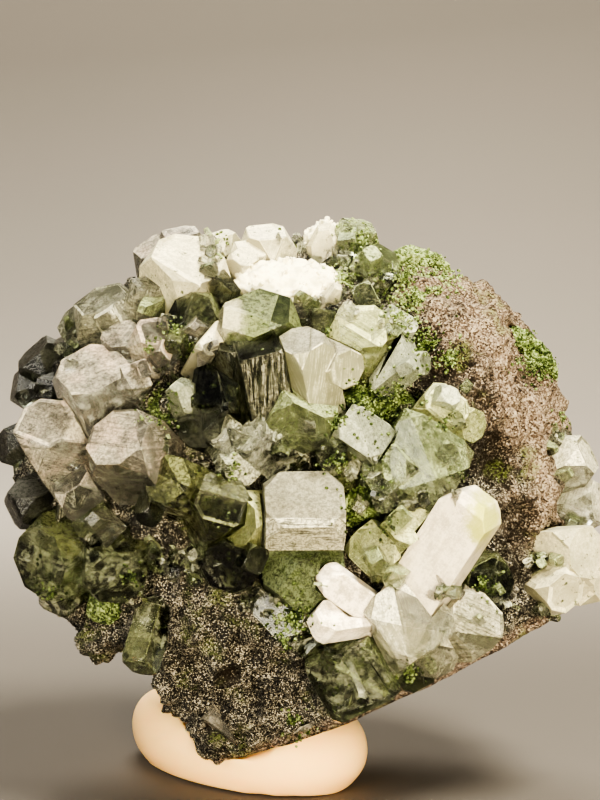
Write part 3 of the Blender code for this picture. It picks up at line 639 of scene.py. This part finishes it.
crystalSettings = {
    "ior": 1.535,
    "ridgeReach": 7.5 * mm,
    "edge": 0.14 * mm,  # how far the sharp edges are worn back
    "sharpAngle": math.radians(14),
    "worn": 1.2,  # frosting that marks a worn edge, whose pale strip is partly a painted highlight; a face has 0 to 1
    # pale colour of the worn edge strips: partly wear, partly a painted highlight
    "wornEdgeHighlightColour": (0.86, 0.87, 0.70),
    "pinkColour": (0.76, 0.50, 0.37),
    "stepFace": 9 * mm * mm,  # faces larger than this get growth steps
    "stepSlim": 1.1 * mm,  # but not where area over outline is less than this
    "stepWidth": (0.35 * mm, 0.9 * mm),
    "stepHeight": 0.10 * mm,
}


def crystalMaterial(name, look):
    s = crystalSettings
    place = newMaterial(name)
    # the frost attribute holds painted top light besides the frosting: faces that point up are paler
    frost = place.attribute("frost")
    worn = frost.between(1.0, 1.1)
    mist = place.noise(4.5 * mm, 3, 0.6)
    cloud = place.noise(1.3 * mm, 5, 0.7)
    speck = place.noise(0.34 * mm, 4, 0.8)
    fleck = place.noise(0.5 * mm, 4, 0.85)
    along = place.node("UVMap", {"uv_map": "grain"}, {})
    lines = along.noise(1.0, 4, 0.6, stretch=(0.22, 3.2, 1), wobble=0.9)
    stripes = place.attribute("streak") * look["stripes"]
    texture = lines * (0.12 + stripes * 0.66) + mist * (0.36 - stripes * 0.27)
    texture = texture + cloud * (0.24 - stripes * 0.18) + speck * (0.34 - stripes * 0.24)
    tone = (texture + frost * 0.26 - 0.16).between(0.5 - look["soft"], 0.5 + look["soft"])
    holes = speck.between(0.55, 0.60) * frost.between(1.0, 0.2)
    tone = tone * (1 - holes * 0.7) * (0.42 + fleck.between(0.43, 0.55) * 0.58)
    # worn edges painted pale: partly wear, partly a painted highlight
    colour = (worn * 0.45).mix(tone.atLeast(worn).mix(look["deep"], look["pale"]), s["wornEdgeHighlightColour"])
    if look["moss"] > 0.1:
        dark, mid, light = insideSettings["mossColours"]
        edge = 0.62 - look["moss"] * 0.1
        sprig = place.noise(1.1 * mm, 5, 0.75).between(edge, edge + 0.04) * (1 - worn)
        colour = sprig.mix(colour, speck.ramp(((0.35, dark), (0.52, mid), (0.68, light))))
    if "patch" in look:
        at, radius, tint = look["patch"]
        colour = (spotOf(place, seenAt(at)[0], radius * mm) * 0.9).mix(colour, tint)
    if "pink" in look:
        blush = place.noise(6 * mm, 2).between(0.48, 0.66) * look["pink"]
        colour = (blush * tone).mix(colour, s["pinkColour"])
    low, high = look["cover"]
    share = low + frost * (high - low) + (tone - 0.5) * 0.45 + worn * 0.2
    relief = lines * (0.25 + stripes * 0.8) + cloud * 0.35 + speck * 0.45
    glass = place.shader({
        "Base Color": (1, 1, 1), "Roughness": 0.03, "IOR": s["ior"], "Transmission Weight": 1.0,
        "Normal": (lines + cloud * 0.3).bump(0.25, 0.15 * mm)})
    veil = place.shader({
        "Base Color": colour, "Roughness": 0.42, "IOR": s["ior"], "Transmission Weight": 0.3,
        "Normal": relief.bump(0.5, 0.22 * mm)})
    surface = place.node("MixShader", {}, {0: share.atLeast(0).atMost(0.98), 1: glass, 2: veil})
    volume = place.node("VolumeAbsorption", {}, {"Color": look["absorb"], "Density": look["density"]})
    return finished(surface, volume)


def layGrain(bm, strips=(), axis=None):
    # a map in mm whose first axis runs along each face's longest edge, each face's own frosting, which also
    # holds painted top light (faces that point up are paler), and its streaks, which the long side faces
    # have and the square ends don't
    layer = bm.loops.layers.uv.new("grain")
    frost = bm.faces.layers.float.new("frost")
    streak = bm.faces.layers.float.new("streak")
    worn = set(strips)
    for face in bm.faces:
        edge = max(face.edges, key=lambda e: e.calc_length())
        along = (edge.verts[1].co - edge.verts[0].co).normalized()
        onSide = axis is not None and abs(face.normal.dot(axis)) < 0.5
        if onSide:
            along = (axis - face.normal * face.normal.dot(axis)).normalized()
        across = face.normal.cross(along)
        # painted top light: faces that point up get more frosting, so they render paler
        paintedTopLight = 0.42 + 0.35 * face.normal.z
        face[frost] = crystalSettings["worn"] if face in worn else held(rnd.gauss(paintedTopLight, 0.22), 0.0, 1.0)
        slim = edge.calc_length() ** 2 / max(face.calc_area(), 1e-12)
        face[streak] = 1.0 if onSide else held(slim - 0.55, 0.12, 1.0)
        for loop in face.loops:
            loop[layer].uv = (loop.vert.co.dot(along) / mm, loop.vert.co.dot(across) / mm)


def growSteps(bm):  # low plates on the larger faces
    s = crystalSettings
    for face in [f for f in bm.faces if f.calc_area() > s["stepFace"]]:
        slim = face.calc_area() < face.calc_perimeter() * s["stepSlim"]
        if rnd.random() < 0.35 or len(face.verts) > 8 or slim:
            continue
        width = rnd.uniform(*s["stepWidth"])
        height = rnd.choice((-1, 1)) * s["stepHeight"] * rnd.uniform(0.6, 1.4)
        bmesh.ops.inset_individual(bm, faces=[face], thickness=width, depth=height, use_even_offset=True)


def raiseRidges(bm, node):
    for place, across, height in ridges:
        at, _, owner = seenAt(place)
        if owner != node or node.endswith(("striped_prism", "dark_block")):
            continue
        cut = cutBy(bm, at, faced((*across, 0)))
        bm.normal_update()
        for v in cut:
            if not isinstance(v, bmesh.types.BMVert):
                continue
            if (v.co - at).length < crystalSettings["ridgeReach"] and v.normal.dot(sightOf(place)) < 0.25:
                v.co -= sightOf(place) * height * mm
    bm.normal_update()


def buildCrystal(name, look):
    s = crystalSettings
    node = "apophyllite_" + name
    bm = wholeFacesOf(node)
    raiseRidges(bm, node)
    others = []
    for rule, limit, *finish in moreLooks.get(name, ()):
        if rule == "below":
            limit = seenAt(limit)[0].z
            cutBy(bm, (0, 0, limit), (0, 0, 1))
        others.append((rule, limit, *finish))
    growSteps(bm)
    strips = wearEdges(bm, s["sharpAngle"], s["edge"] * wideEdges.get(name, 1.0))
    layGrain(bm, strips, faced(prismAxes[name]) if name in prismAxes else None)
    streak = bm.faces.layers.float["streak"]
    frost = bm.faces.layers.float["frost"]
    for slot, (rule, limit, _, streaks, frosted) in enumerate(others, 1):
        for face in bm.faces:
            if face.calc_center_median().z < limit if rule == "below" else face.normal.z > limit:
                face.material_index = slot
                face[streak] = streaks
                if face[frost] <= 1:
                    face[frost] = frosted
    piece = makePiece("crystal_" + name, bm, crystalMaterials[look], "apophyllite", [node])
    for _, _, other, _, _ in others:
        piece.data.materials.append(crystalMaterials[other])


# inside the crystals
insideSettings = {
    "veilColour": (0.90, 0.90, 0.76),
    "veilShrink": 0.93,
    "merge": 0.002 * mm,
    "veilMargin": 0.8 * mm,  # how deep inside the middle of a veil, a tuft of moss and a grain lie
    "tuftMargin": 0.5 * mm,
    "grainMargin": 0.3 * mm,
    "mossColours": ((0.010, 0.017, 0.005), (0.072, 0.10, 0.030), (0.28, 0.34, 0.15)),
    "mossSize": (0.12 * mm, 0.42 * mm),
    "tuftOf": 12,  # grains
    "tuftWidth": 0.9 * mm,
    "tries": 40,
}


def innerVeilMaterial():
    place = newMaterial("innerVeil")
    feathers = place.noise(0.5 * mm, 3, 0.6)
    share = place.noise(1.7 * mm, 5, 0.65).between(0.42, 0.66) * (0.25 + feathers * 0.7)
    return finished(place.shader({
        "Base Color": insideSettings["veilColour"], "Roughness": 0.25, "Alpha": share}))


def mossMaterial():
    place = newMaterial("celadonite")
    patch = place.noise(2.0 * mm, 4, 0.65)
    grain = place.cells(0.3 * mm)
    dark, mid, light = insideSettings["mossColours"]
    # painted light: the moss grows paler towards the top, as if lit there and shaded lower down
    high = place.axis("Z").between(62 * mm, 78 * mm)
    tone = patch * 0.7 + grain * 0.3 + high * 0.12 - 0.035
    return finished(place.shader({
        "Base Color": tone.ramp(((0.36, dark), (0.50, mid), (0.68, light))), "Roughness": 0.85,
        "Normal": (grain + patch).bump(0.7, 0.15 * mm)}))


def isInside(tree, point, margin):
    near, normal, _, far = tree.find_nearest(point)
    return (point - near).dot(normal) < 0 and far > margin


def randomInside(tree, low, high, margin):
    for _ in range(insideSettings["tries"]):
        point = Vector(rnd.uniform(low[i], high[i]) for i in range(3))
        if isInside(tree, point, margin):
            return point
    return None


def sliceOf(node, middle):  # a thin sheet through the crystal, a little smaller than it
    tilt = Vector(rnd.gauss(0, 1) for _ in range(3)).normalized()
    bm = copyOfNode(node, insideSettings["merge"])
    cut = cutBy(bm, middle, tilt, clear_outer=True, clear_inner=True)
    bmesh.ops.edgenet_fill(bm, edges=[e for e in cut if isinstance(e, bmesh.types.BMEdge)])
    loose = [f for f in bm.faces if abs(f.normal.dot(tilt)) < 0.9]
    bmesh.ops.delete(bm, geom=loose, context="FACES")
    for face in bm.faces:
        centre = face.calc_center_median()
        for v in face.verts:
            v.co = centre + (v.co - centre) * insideSettings["veilShrink"]
    return bm


def buildInsides():
    s = insideSettings
    veils = bmesh.new()
    moss = Batch()
    for name, (look, grains, slices) in crystalPlan.items():
        node = "apophyllite_" + name
        tree, _ = treeOf([node])
        low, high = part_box(node)
        for _ in range(slices):
            middle = randomInside(tree, low, high, s["veilMargin"])
            if middle is not None:
                pour(sliceOf(node, middle), veils)
        seeds = [randomInside(tree, low, high, s["tuftMargin"]) for _ in range(1 + grains // s["tuftOf"])]
        seeds = [seed for seed in seeds if seed]
        for _ in range(grains if seeds else 0):
            at = rnd.choice(seeds) + Vector(rnd.gauss(0, s["tuftWidth"]) for _ in range(3))
            if isInside(tree, at, s["grainMargin"]):
                size = rnd.uniform(*s["mossSize"])
                lump(moss, at, tree.find_nearest(at)[1], size, size * 0.8, size * 0.7)
    makePiece("innerVeils", veils, innerVeilMaterial(), "apophyllite")
    makePiece("innerMoss", moss.done(), mossLook, "celadonite", smooth=True)
    print("insides done")


# stilbite
stilbiteSettings = {
    "edge": 0.35 * mm,
    "sharpAngle": 0.3,
    "blade": (0.68, 0.62, 0.48),
    "rod": (0.88, 0.80, 0.65),
    "deep": (0.47, 0.42, 0.32),
    "stain": (0.38, 0.40, 0.08),
    "stainPlace": (28.0, 40.0),
    "stainSize": 3.2 * mm,
    "stainFade": 2 * mm,
}


def stilbiteMaterial(name):
    s = stilbiteSettings
    place = newMaterial("stilbite" + name.title())
    lines = place.node("UVMap", {"uv_map": "grain"}, {}).noise(1.0, 5, 0.7, stretch=(0.14, 2.6, 1))
    cloud = place.noise(2.4 * mm, 5, 0.7)
    speck = place.noise(0.3 * mm, 3, 0.75)
    tone = (lines * 0.2 + cloud * 0.6 + speck * 0.2).between(0.40, 0.58)
    away = awayFrom(place, seenAt(s["stainPlace"])[0], squash=0.6) + cloud * 4 * mm
    stain = away.between(s["stainSize"] + s["stainFade"], s["stainSize"])
    return finished(place.shader({
        "Base Color": (stain * 0.85).mix(tone.mix(s["deep"], s[name]), s["stain"]),
        "Roughness": 0.30 + tone * 0.2, "Subsurface Weight": 0.25, "Subsurface Radius": (1.0, 0.9, 0.7),
        "Subsurface Scale": 1.5 * mm, "IOR": 1.5,
        "Normal": (lines + cloud * 0.5 + speck * 0.3).bump(0.6, 0.2 * mm)}))


def buildStilbite():
    s = stilbiteSettings
    blade, rod = stilbiteMaterial("blade"), stilbiteMaterial("rod")
    for name, material in (("column", blade), ("rod_upper", rod), ("rod_lower", rod)):
        node = "stilbite_" + name
        bm = wholeFacesOf(node)
        raiseRidges(bm, node)
        wearEdges(bm, s["sharpAngle"], s["edge"], segments=3)
        layGrain(bm)
        makePiece("blade_" + name, bm, material, "stilbite", [node])
    buildLoosePieces()
    print("stilbite done")


# crusts
crustSettings = {
    "voxel": 0.26 * mm,
    "lumps": 0.55 * mm,
    "grit": 0.35 * mm,
    "mossGrains": 1300,
    "mossSize": (0.10 * mm, 0.32 * mm),
    "sugarGrains": 120,
    "sugarSize": (0.14 * mm, 0.6 * mm),
    "pale": (0.84, 0.78, 0.56),
    "deep": (0.60, 0.57, 0.39),
}


def crustMaterial():
    s = crustSettings
    place = newMaterial("whiteZeolite")
    patch = place.noise(2 * mm, 3, 0.6).between(0.30, 0.60)
    return finished(place.shader({
        "Base Color": patch.mix(s["deep"], s["pale"]), "Roughness": 0.35, "Subsurface Weight": 0.3,
        "Subsurface Scale": 1.0 * mm, "Subsurface Radius": (1.0, 0.9, 0.7)}))


def mossGrain(batch, at, normal):
    grain = rnd.uniform(*crustSettings["mossSize"])
    lump(batch, at, normal, grain, grain * rnd.uniform(0.7, 1), grain * rnd.uniform(0.5, 0.9))


def sugarGrain(batch, at, normal):
    lean = leaning(normal, 0.7)
    wide = rnd.uniform(*crustSettings["sugarSize"])
    smallCrystal(batch.room(), at, lean, wide, wide * rnd.uniform(1.4, 2.4))


def coverNode(batch, node, count, grain):
    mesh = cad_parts[node].data
    faces = list(mesh.polygons)
    for face in rnd.choices(faces, weights=[f.area for f in faces], k=count):
        first, second, third = (mesh.vertices[i].co for i in face.vertices)
        low, high = sorted((rnd.random(), rnd.random()))
        grain(batch, first * low + second * (high - low) + third * (1 - high), face.normal)


def crustMove(v):
    s = crustSettings
    place = v.co / mm
    return v.normal * (noise.noise(place / 1.3) * s["lumps"] + noise.noise(place / 0.5) * s["grit"])


def growCrusts(kind, pieceKind, material, slotName, count, grain):  # gives the grains on them
    batch = Batch()
    for node in [n for n in solidNames if n.startswith(kind)]:
        bm = copyOfNode(node)
        crust = makePiece(node.replace(kind, pieceKind), bm, material, slotName, [node], smooth=True)
        roughen(crust, crustSettings["voxel"], crustMove)
        coverNode(batch, node, count, grain)
    return batch.done()


def buildCrusts():
    s = crustSettings
    grains = growCrusts("green_crust", "moss", mossLook, "celadonite", s["mossGrains"], mossGrain)
    makePiece("mossGrains", grains, mossLook, "celadonite", smooth=True)
    white = crustMaterial()
    grains = growCrusts("white_crust", "sugar", white, "white_zeolite", s["sugarGrains"], sugarGrain)
    makePiece("sugarGrains", grains, white, "white_zeolite")
    print("crusts done")


# moss and small crystals between the large ones
# right, up and radius in mm, how many
mossPatches = (
    (16, 76.5, 4, 420), (15, 71, 4, 380), (18.5, 66.5, 3.5, 260), (22, 65, 2.5, 120), (11, 58, 5, 650),
    (14.5, 59.5, 3.5, 260), (5.5, 55, 2, 160), (5.5, 49, 2, 200), (9.5, 43.5, 4, 420),
    (7.5, 39.5, 2, 120), (-21, 57, 3.5, 420), (-19, 68.5, 2.5, 180), (-17, 66.5, 2, 90),
    (-7, 71, 1.5, 60), (-1, 25.5, 3.5, 420), (-2.5, 22, 2, 120), (-1, 9, 2.5, 140), (-38, 29, 2, 120),
    (-25.5, 31.5, 2, 90), (35, 64, 3, 260), (39.5, 55.5, 2, 120), (17, 17, 2, 120),
    (27.5, 30.5, 2.5, 120), (-12, 81.5, 2.5, 160), (-0.5, 83, 2, 120), (9, 82, 3.4, 420),
    (20.5, 79.5, 3.6, 520), (20, 75.5, 2.2, 220), (22.5, 77.5, 2.4, 220), (24, 77, 2, 160),
    (34.5, 68, 2, 160), (37, 62.5, 2, 180), (6.5, 77, 2.5, 180), (-10.5, 48, 2, 100),
    (-22.5, 66.5, 1.5, 60), (18, 73.5, 2, 140), (22, 55.5, 2, 90), (23.5, 48, 2, 90), (13.5, 40, 2, 80),
    (4.5, 69, 1, 50),
)
smallPatches = (
    (-20.5, 51, 2.5, 20), (-15, 34, 4, 36), (5, 73.5, 3.5, 40), (6.5, 79, 4.5, 60), (-13.5, 80, 4.5, 50),
    (0, 82.5, 4.5, 50), (13, 69, 2.5, 22), (9, 48, 3.5, 40), (11.5, 41, 4, 40), (18, 43.5, 3, 26),
    (23.5, 43.5, 1.5, 10), (-7.5, 28, 3, 22), (1.5, 28, 3, 20), (21, 29.5, 3.5, 20), (30.5, 28, 2.5, 16),
    (36.5, 34, 2.5, 20), (37, 26.5, 2, 18), (39, 52.5, 2, 14), (-24, 28, 3, 26), (-21, 34, 3, 26),
    (-36, 46.5, 3, 20), (-34.5, 66, 3.5, 30), (-40.5, 58.5, 3, 20), (-42, 48, 2.5, 16),
    (-30, 67.5, 3, 20), (-21, 63, 2.5, 20), (-3, 51, 2.5, 16),
)
# crystals of the second size, by their look: right, up and width in mm
middling = {
    "frost": ((-15.5, 69, 3.6), (-13.5, 66, 3.4), (-21, 65.5, 2.4), (-24, 63, 2.4)),
    # near-black crystal of painted shade on the shaded left edge
    "dim": ((-39.5, 60, 2.6),),
    "dark": ((0.3, 69.6, 2.4), (-12.2, 75.8, 3.8), (-9.8, 78.2, 2.8), (-22.5, 42.5, 3.2),
        (-12.5, 56.5, 3.6), (-17, 54, 2.6)),
    "cream": ((4.5, 73.5, 3.6), (-8.5, 79, 3.2), (-11.5, 81, 2.6)),
    "facet": ((16, 63.5, 2.2), (21.5, 58.5, 3)),
    "striped": ((-34, 43.5, 3.4), (-36, 41, 2.6)),
    "silver": ((-28.5, 70.5, 3.2),),
    "clear": ((7, 71, 2.4), (-11.5, 73.5, 2.2), (-20, 70, 2.4), (-9, 52.5, 3.4), (-11, 48.5, 2.8),
        (-3.5, 52.5, 2.6), (7.5, 48, 2.8), (11.5, 46.5, 2.6), (9, 42.5, 2.8), (13, 43.5, 2.4),
        (-5, 26, 2.4), (-4, 28, 2), (-14.5, 48.5, 2.2)),
    "green": ((3, 70.3, 3.4), (-18, 67.5, 2.6), (4.5, 51, 3.2), (-7.5, 34.5, 3.6), (-7, 29.5, 2.2),
        (-27, 37, 2.8), (4.5, 18.5, 2.6), (7.5, 12.5, 2), (13.5, 14, 2.2)),
    "slate": ((1.5, 54.5, 2.4), (-30, 39.5, 4)),
    "cloud": ((1, 72.5, 4.4), (9.5, 73.5, 3.8), (14.5, 69, 2.4), (-22.5, 72.5, 3.4), (15, 40.5, 3),
        (11.5, 34, 3.6), (15, 32, 2.8), (23.5, 55.5, 2.4), (22.5, 51, 2.8), (25, 60.5, 1.6),
        (19.5, 18.5, 2), (27, 25, 2.2), (30, 29.5, 1.8), (39, 34, 3.2), (41.5, 40, 3.2), (37.5, 51, 2.2),
        (39, 46.5, 2.6), (-34.5, 69, 3.2), (7.5, 82, 3.2), (10.5, 79, 2.6), (-1, 83, 3), (13.5, 78, 2.2)),
}
betweenSettings = {
    "mossGrain": (0.12 * mm, 0.34 * mm),
    "mossPile": 1.3 * mm,
    "mossMissed": 0.55,  # how many that fall on a crystal are left out
    "blocksMissed": 0.8,
    "blockWidth": (0.4 * mm, 1.7 * mm),
    "clearShare": 0.6,
    "edge": 0.09 * mm,
    "sharpAngle": 0.2,
}


def scattered(patches, missed):  # points and normals in the patches, fewer away from their middles
    for right, up, radius, count in patches:
        for _ in range(count):
            reach = radius * abs(rnd.gauss(0, 0.55))
            turn = rnd.uniform(0, math.tau)
            at, normal, owner = seenAt((right + reach * math.cos(turn), up + reach * math.sin(turn)))
            if at and (owner == "basalt_matrix" or rnd.random() >= missed):
                yield at, normal


def buildBetween():
    s = betweenSettings
    moss, clear, pale = Batch(), Batch(), Batch()
    for at, normal in scattered(mossPatches, s["mossMissed"]):
        grain = rnd.uniform(*s["mossGrain"])
        at += normal * (rnd.random() ** 2 * s["mossPile"] * max(0.0, noise.noise(at / (1.4 * mm)) + 0.5))
        lump(moss, at, normal, grain, grain * rnd.uniform(0.7, 1), grain * rnd.uniform(0.6, 1))
    for at, normal in scattered(smallPatches, s["blocksMissed"]):
        lean = leaning(normal, 0.8)
        wide = rnd.uniform(*s["blockWidth"])
        batch = clear if rnd.random() < s["clearShare"] else pale
        smallCrystal(batch.room(), at, lean, wide, wide * rnd.uniform(1.2, 2.2))
    for look, crystals in middling.items():
        bm = bmesh.new()
        for right, up, width in crystals:
            at, normal, _ = seenAt((right, up))
            if at is None:
                continue
            away = leaning(sightOf((right, up)) * -0.5 + normal, 0.5)
            at += away * 0.1 * width * mm
            smallCrystal(bm, at, away, width * mm, width * rnd.uniform(1.1, 1.6) * mm)
        layGrain(bm, wearEdges(bm, s["sharpAngle"], s["edge"]))
        makePiece("middling" + look.title(), bm, crystalMaterials[look], "apophyllite")
    makePiece("mossBetween", moss.done(), mossLook, "celadonite", smooth=True)
    for name, batch, look in (("smallClear", clear, "clear"), ("smallPale", pale, "cloud")):
        bm = batch.done()
        bm.normal_update()
        layGrain(bm)
        makePiece(name, bm, crystalMaterials[look], "apophyllite")
    print("moss and small crystals done")


# small pieces of their own
# name: corners as places, thickness and stand off in mm, what it is made of
loosePieces = {
    "foot_blade": (((-15.2, 9.8), (-13.2, 12.2), (-11.8, 10.6), (-10.4, 8.0), (-9.2, 5.4), (-11.0, 6.6)),
                   3.0, 1.4, "frost", "stilbite"),
    "plate_edge": (((-1.2, 7.4), (0.0, 8.6), (3.0, 9.9), (4.6, 10.5), (4.2, 9.7), (1.2, 7.9)),
                   1.6, 0.8, "frost", "stilbite"),
    "inner_blade": (((6.8, 18.6), (7.6, 19.2), (8.4, 17.9), (9.3, 15.6), (10.5, 13.6), (10.0, 12.8),
                     (8.9, 13.2), (8.0, 15.6)), 0.6, 0.1, "facet", "stilbite"),
    "white_spire": (((1.4, 77.0), (1.0, 81.5), (2.6, 84.6), (4.6, 85.0), (5.8, 82.0), (5.4, 77.5)),
                    3.2, 1.6, "cream", "white_zeolite"),
}
looseRings = ((0, 0.72), (0.3, 1.0), (1, 0.9))  # how far back in the thickness, how wide


def buildLoosePieces():
    for name, (corners, thick, off, look, slotName) in loosePieces.items():
        middle = [sum(corner[i] for corner in corners) / len(corners) for i in (0, 1)]
        at, _, _ = seenAt(middle)
        reach = (onPlane(middle) - eye).length
        near = ((at - eye).length - off * mm) / reach
        bm = bmesh.new()
        rings = []
        for back, wide in looseRings:
            ring = []
            for corner in corners:
                place = [middle[i] + (corner[i] - middle[i]) * wide for i in (0, 1)]
                ring.append(bm.verts.new(eye + (onPlane(place) - eye) * (near + back * thick * mm / reach)))
            rings.append(ring)
        bm.faces.new(rings[0])
        bm.faces.new(rings[-1])
        for upper, lower in zip(rings, rings[1:]):
            for i, _ in enumerate(corners):
                bm.faces.new((upper[i - 1], upper[i], lower[i], lower[i - 1]))
        bmesh.ops.recalc_face_normals(bm, faces=bm.faces)
        bm.normal_update()
        layGrain(bm)
        makePiece(name, bm, crystalMaterials[look], slotName)


# pad
padSettings = {
    "colour": (1.0, 0.64, 0.28),
    "warm": (1.0, 0.53, 0.20),
    "warmBelow": (6.5, 2.0),  # heights in mm between which the pad grows warmer
    "merge": 0.001 * mm,
    "rounding": 2,
}


def padMaterial():
    s = padSettings
    place = newMaterial("padSatin")
    low = (place.axis("Z") / mm + place.noise(12 * mm, 2) * 3).between(*s["warmBelow"])
    return finished(place.shader({
        "Base Color": (low * 0.5).mix(s["colour"], s["warm"]), "Roughness": 0.45,
        "Normal": place.noise(0.5 * mm, 2).bump(0.08, 0.1 * mm), "Subsurface Weight": 0.35,
        "Subsurface Scale": 3 * mm, "Subsurface Radius": (1.0, 0.6, 0.4)}))


def buildPad():
    s = padSettings
    bm = copyOfNode("display_pad", s["merge"])
    bmesh.ops.join_triangles(bm, faces=bm.faces, angle_face_threshold=0.6, angle_shape_threshold=1.2)
    pad = makePiece("pad", bm, padMaterial(), "pad", ["display_pad"], smooth=True)
    rounded = pad.modifiers.new("Subdivision", "SUBSURF")
    rounded.levels = s["rounding"]
    rounded.render_levels = s["rounding"]
    print("pad done")


# stage
stageSettings = {
    "floor": (0.105, 0.095, 0.084),
    "wall": (0.33, 0.30, 0.265),
    "fade": (0.05, 0.40),  # how far back the floor begins and ends to grow paler; the darker front floor is painted shade
    "reach": 2.0,
    "wallAt": 0.75,
    "wallHeight": 1.4,
    "curve": 0.35,
    "curveSteps": 9,
}


def stageMaterial():
    s = stageSettings
    place = newMaterial("paleFloor")
    # painted shade: the floor is darker at the front and grows paler towards the wall
    colour = place.axis("Y").between(*s["fade"]).mix(s["floor"], s["wall"])
    return finished(place.shader({"Base Color": colour, "Roughness": 0.8}))


def buildStage():
    s = stageSettings
    profile = [(-s["reach"], 0.0)]
    for i in range(s["curveSteps"] + 1):
        angle = math.radians(90 * i / s["curveSteps"])
        back = s["wallAt"] - s["curve"] * (1 - math.sin(angle))
        profile.append((back, s["curve"] * (1 - math.cos(angle))))
    profile.append((s["wallAt"], s["wallHeight"]))
    bm = bmesh.new()
    line = [bm.verts.new((-s["reach"], y, z)) for y, z in profile]
    edges = [bm.edges.new(pair) for pair in zip(line, line[1:])]
    swept = bmesh.ops.extrude_edge_only(bm, edges=edges)
    far = [v for v in swept["geom"] if isinstance(v, bmesh.types.BMVert)]
    bmesh.ops.translate(bm, verts=far, vec=(2 * s["reach"], 0, 0))
    bmesh.ops.recalc_face_normals(bm, faces=bm.faces)
    mesh = meshOf("floor", bm)
    mesh.shade_smooth()
    mesh.materials.append(stageMaterial())
    floor = objectOf("floor", mesh)


# name: place, aim height, size, power, colour
lamps = {
    "keyRight": ((0.20, -0.22, 0.48), 0.045, 0.17, 8.4, (1.0, 0.94, 0.79)),
    "sheenLeft": ((-0.38, -0.44, 0.30), 0.04, 0.36, 2.6, (1.0, 0.96, 0.87)),
    "lowFront": ((0.06, -0.34, 0.03), 0.002, 0.10, 3.5, (1.0, 0.86, 0.63)),
    "backTop": ((-0.05, 0.30, 0.50), 0.05, 0.30, 5.0, (1.0, 0.96, 0.86)),
}
worldSettings = {"colour": (1.0, 0.95, 0.88, 1), "strength": 0.24, "look": "AgX - High Contrast"}
# how closely light is followed
lightSteps = {
    "adaptive_threshold": 0.14,
    "max_bounces": 6,
    "transmission_bounces": 6,
    "diffuse_bounces": 2,
    "glossy_bounces": 3,
    "transparent_max_bounces": 8,
}


def buildLights():
    for name, (at, aim, size, power, colour) in lamps.items():
        lamp = bpy.data.lights.new(name, "AREA")
        lamp.shape = "SQUARE"
        lamp.size = size
        lamp.energy = power
        lamp.color = colour
        away = Vector(at) - Vector((0, 0, aim))
        holder = objectOf(name, lamp)
        holder.matrix_world = Matrix.Translation(at) @ away.to_track_quat("Z", "Y").to_matrix().to_4x4()
        holder.visible_glossy = name == "sheenLeft"
        holder.visible_camera = False
    world = bpy.data.worlds.new("studio")
    world.use_nodes = True
    background = world.node_tree.nodes["Background"]
    background.inputs["Color"].default_value = worldSettings["colour"]
    background.inputs["Strength"].default_value = worldSettings["strength"]
    scene = bpy.context.scene
    scene.world = world
    scene.view_settings.look = worldSettings["look"]
    for name, value in lightSteps.items():
        setattr(scene.cycles, name, value)


def buildCamera():
    s = eyeSettings
    camera = bpy.data.cameras.new("photoView")
    camera.sensor_fit = "VERTICAL"
    camera.sensor_height = s["sensor"]
    camera.lens = s["lens"]
    camera.clip_start = 10 * mm
    holder = objectOf("photoView", camera)
    turn = Matrix.Rotation(math.radians(90 - s["tiltDown"]), 4, "X")
    holder.matrix_world = Matrix.Translation(eye) @ turn
    bpy.context.scene.camera = holder


buildCamera()
buildStage()
buildLights()
basaltLook = basaltMaterial()
rock = buildRock(basaltLook)
buildGrains(rock, basaltLook)
thinOut(rock)
mossLook = mossMaterial()
crystalMaterials = {name: crystalMaterial(name + "Apophyllite", look) for name, look in looks.items()}
for crystalName, plan in crystalPlan.items():
    buildCrystal(crystalName, plan[0])
print("crystals done")
buildInsides()
buildStilbite()
buildCrusts()
buildBetween()
buildPad()
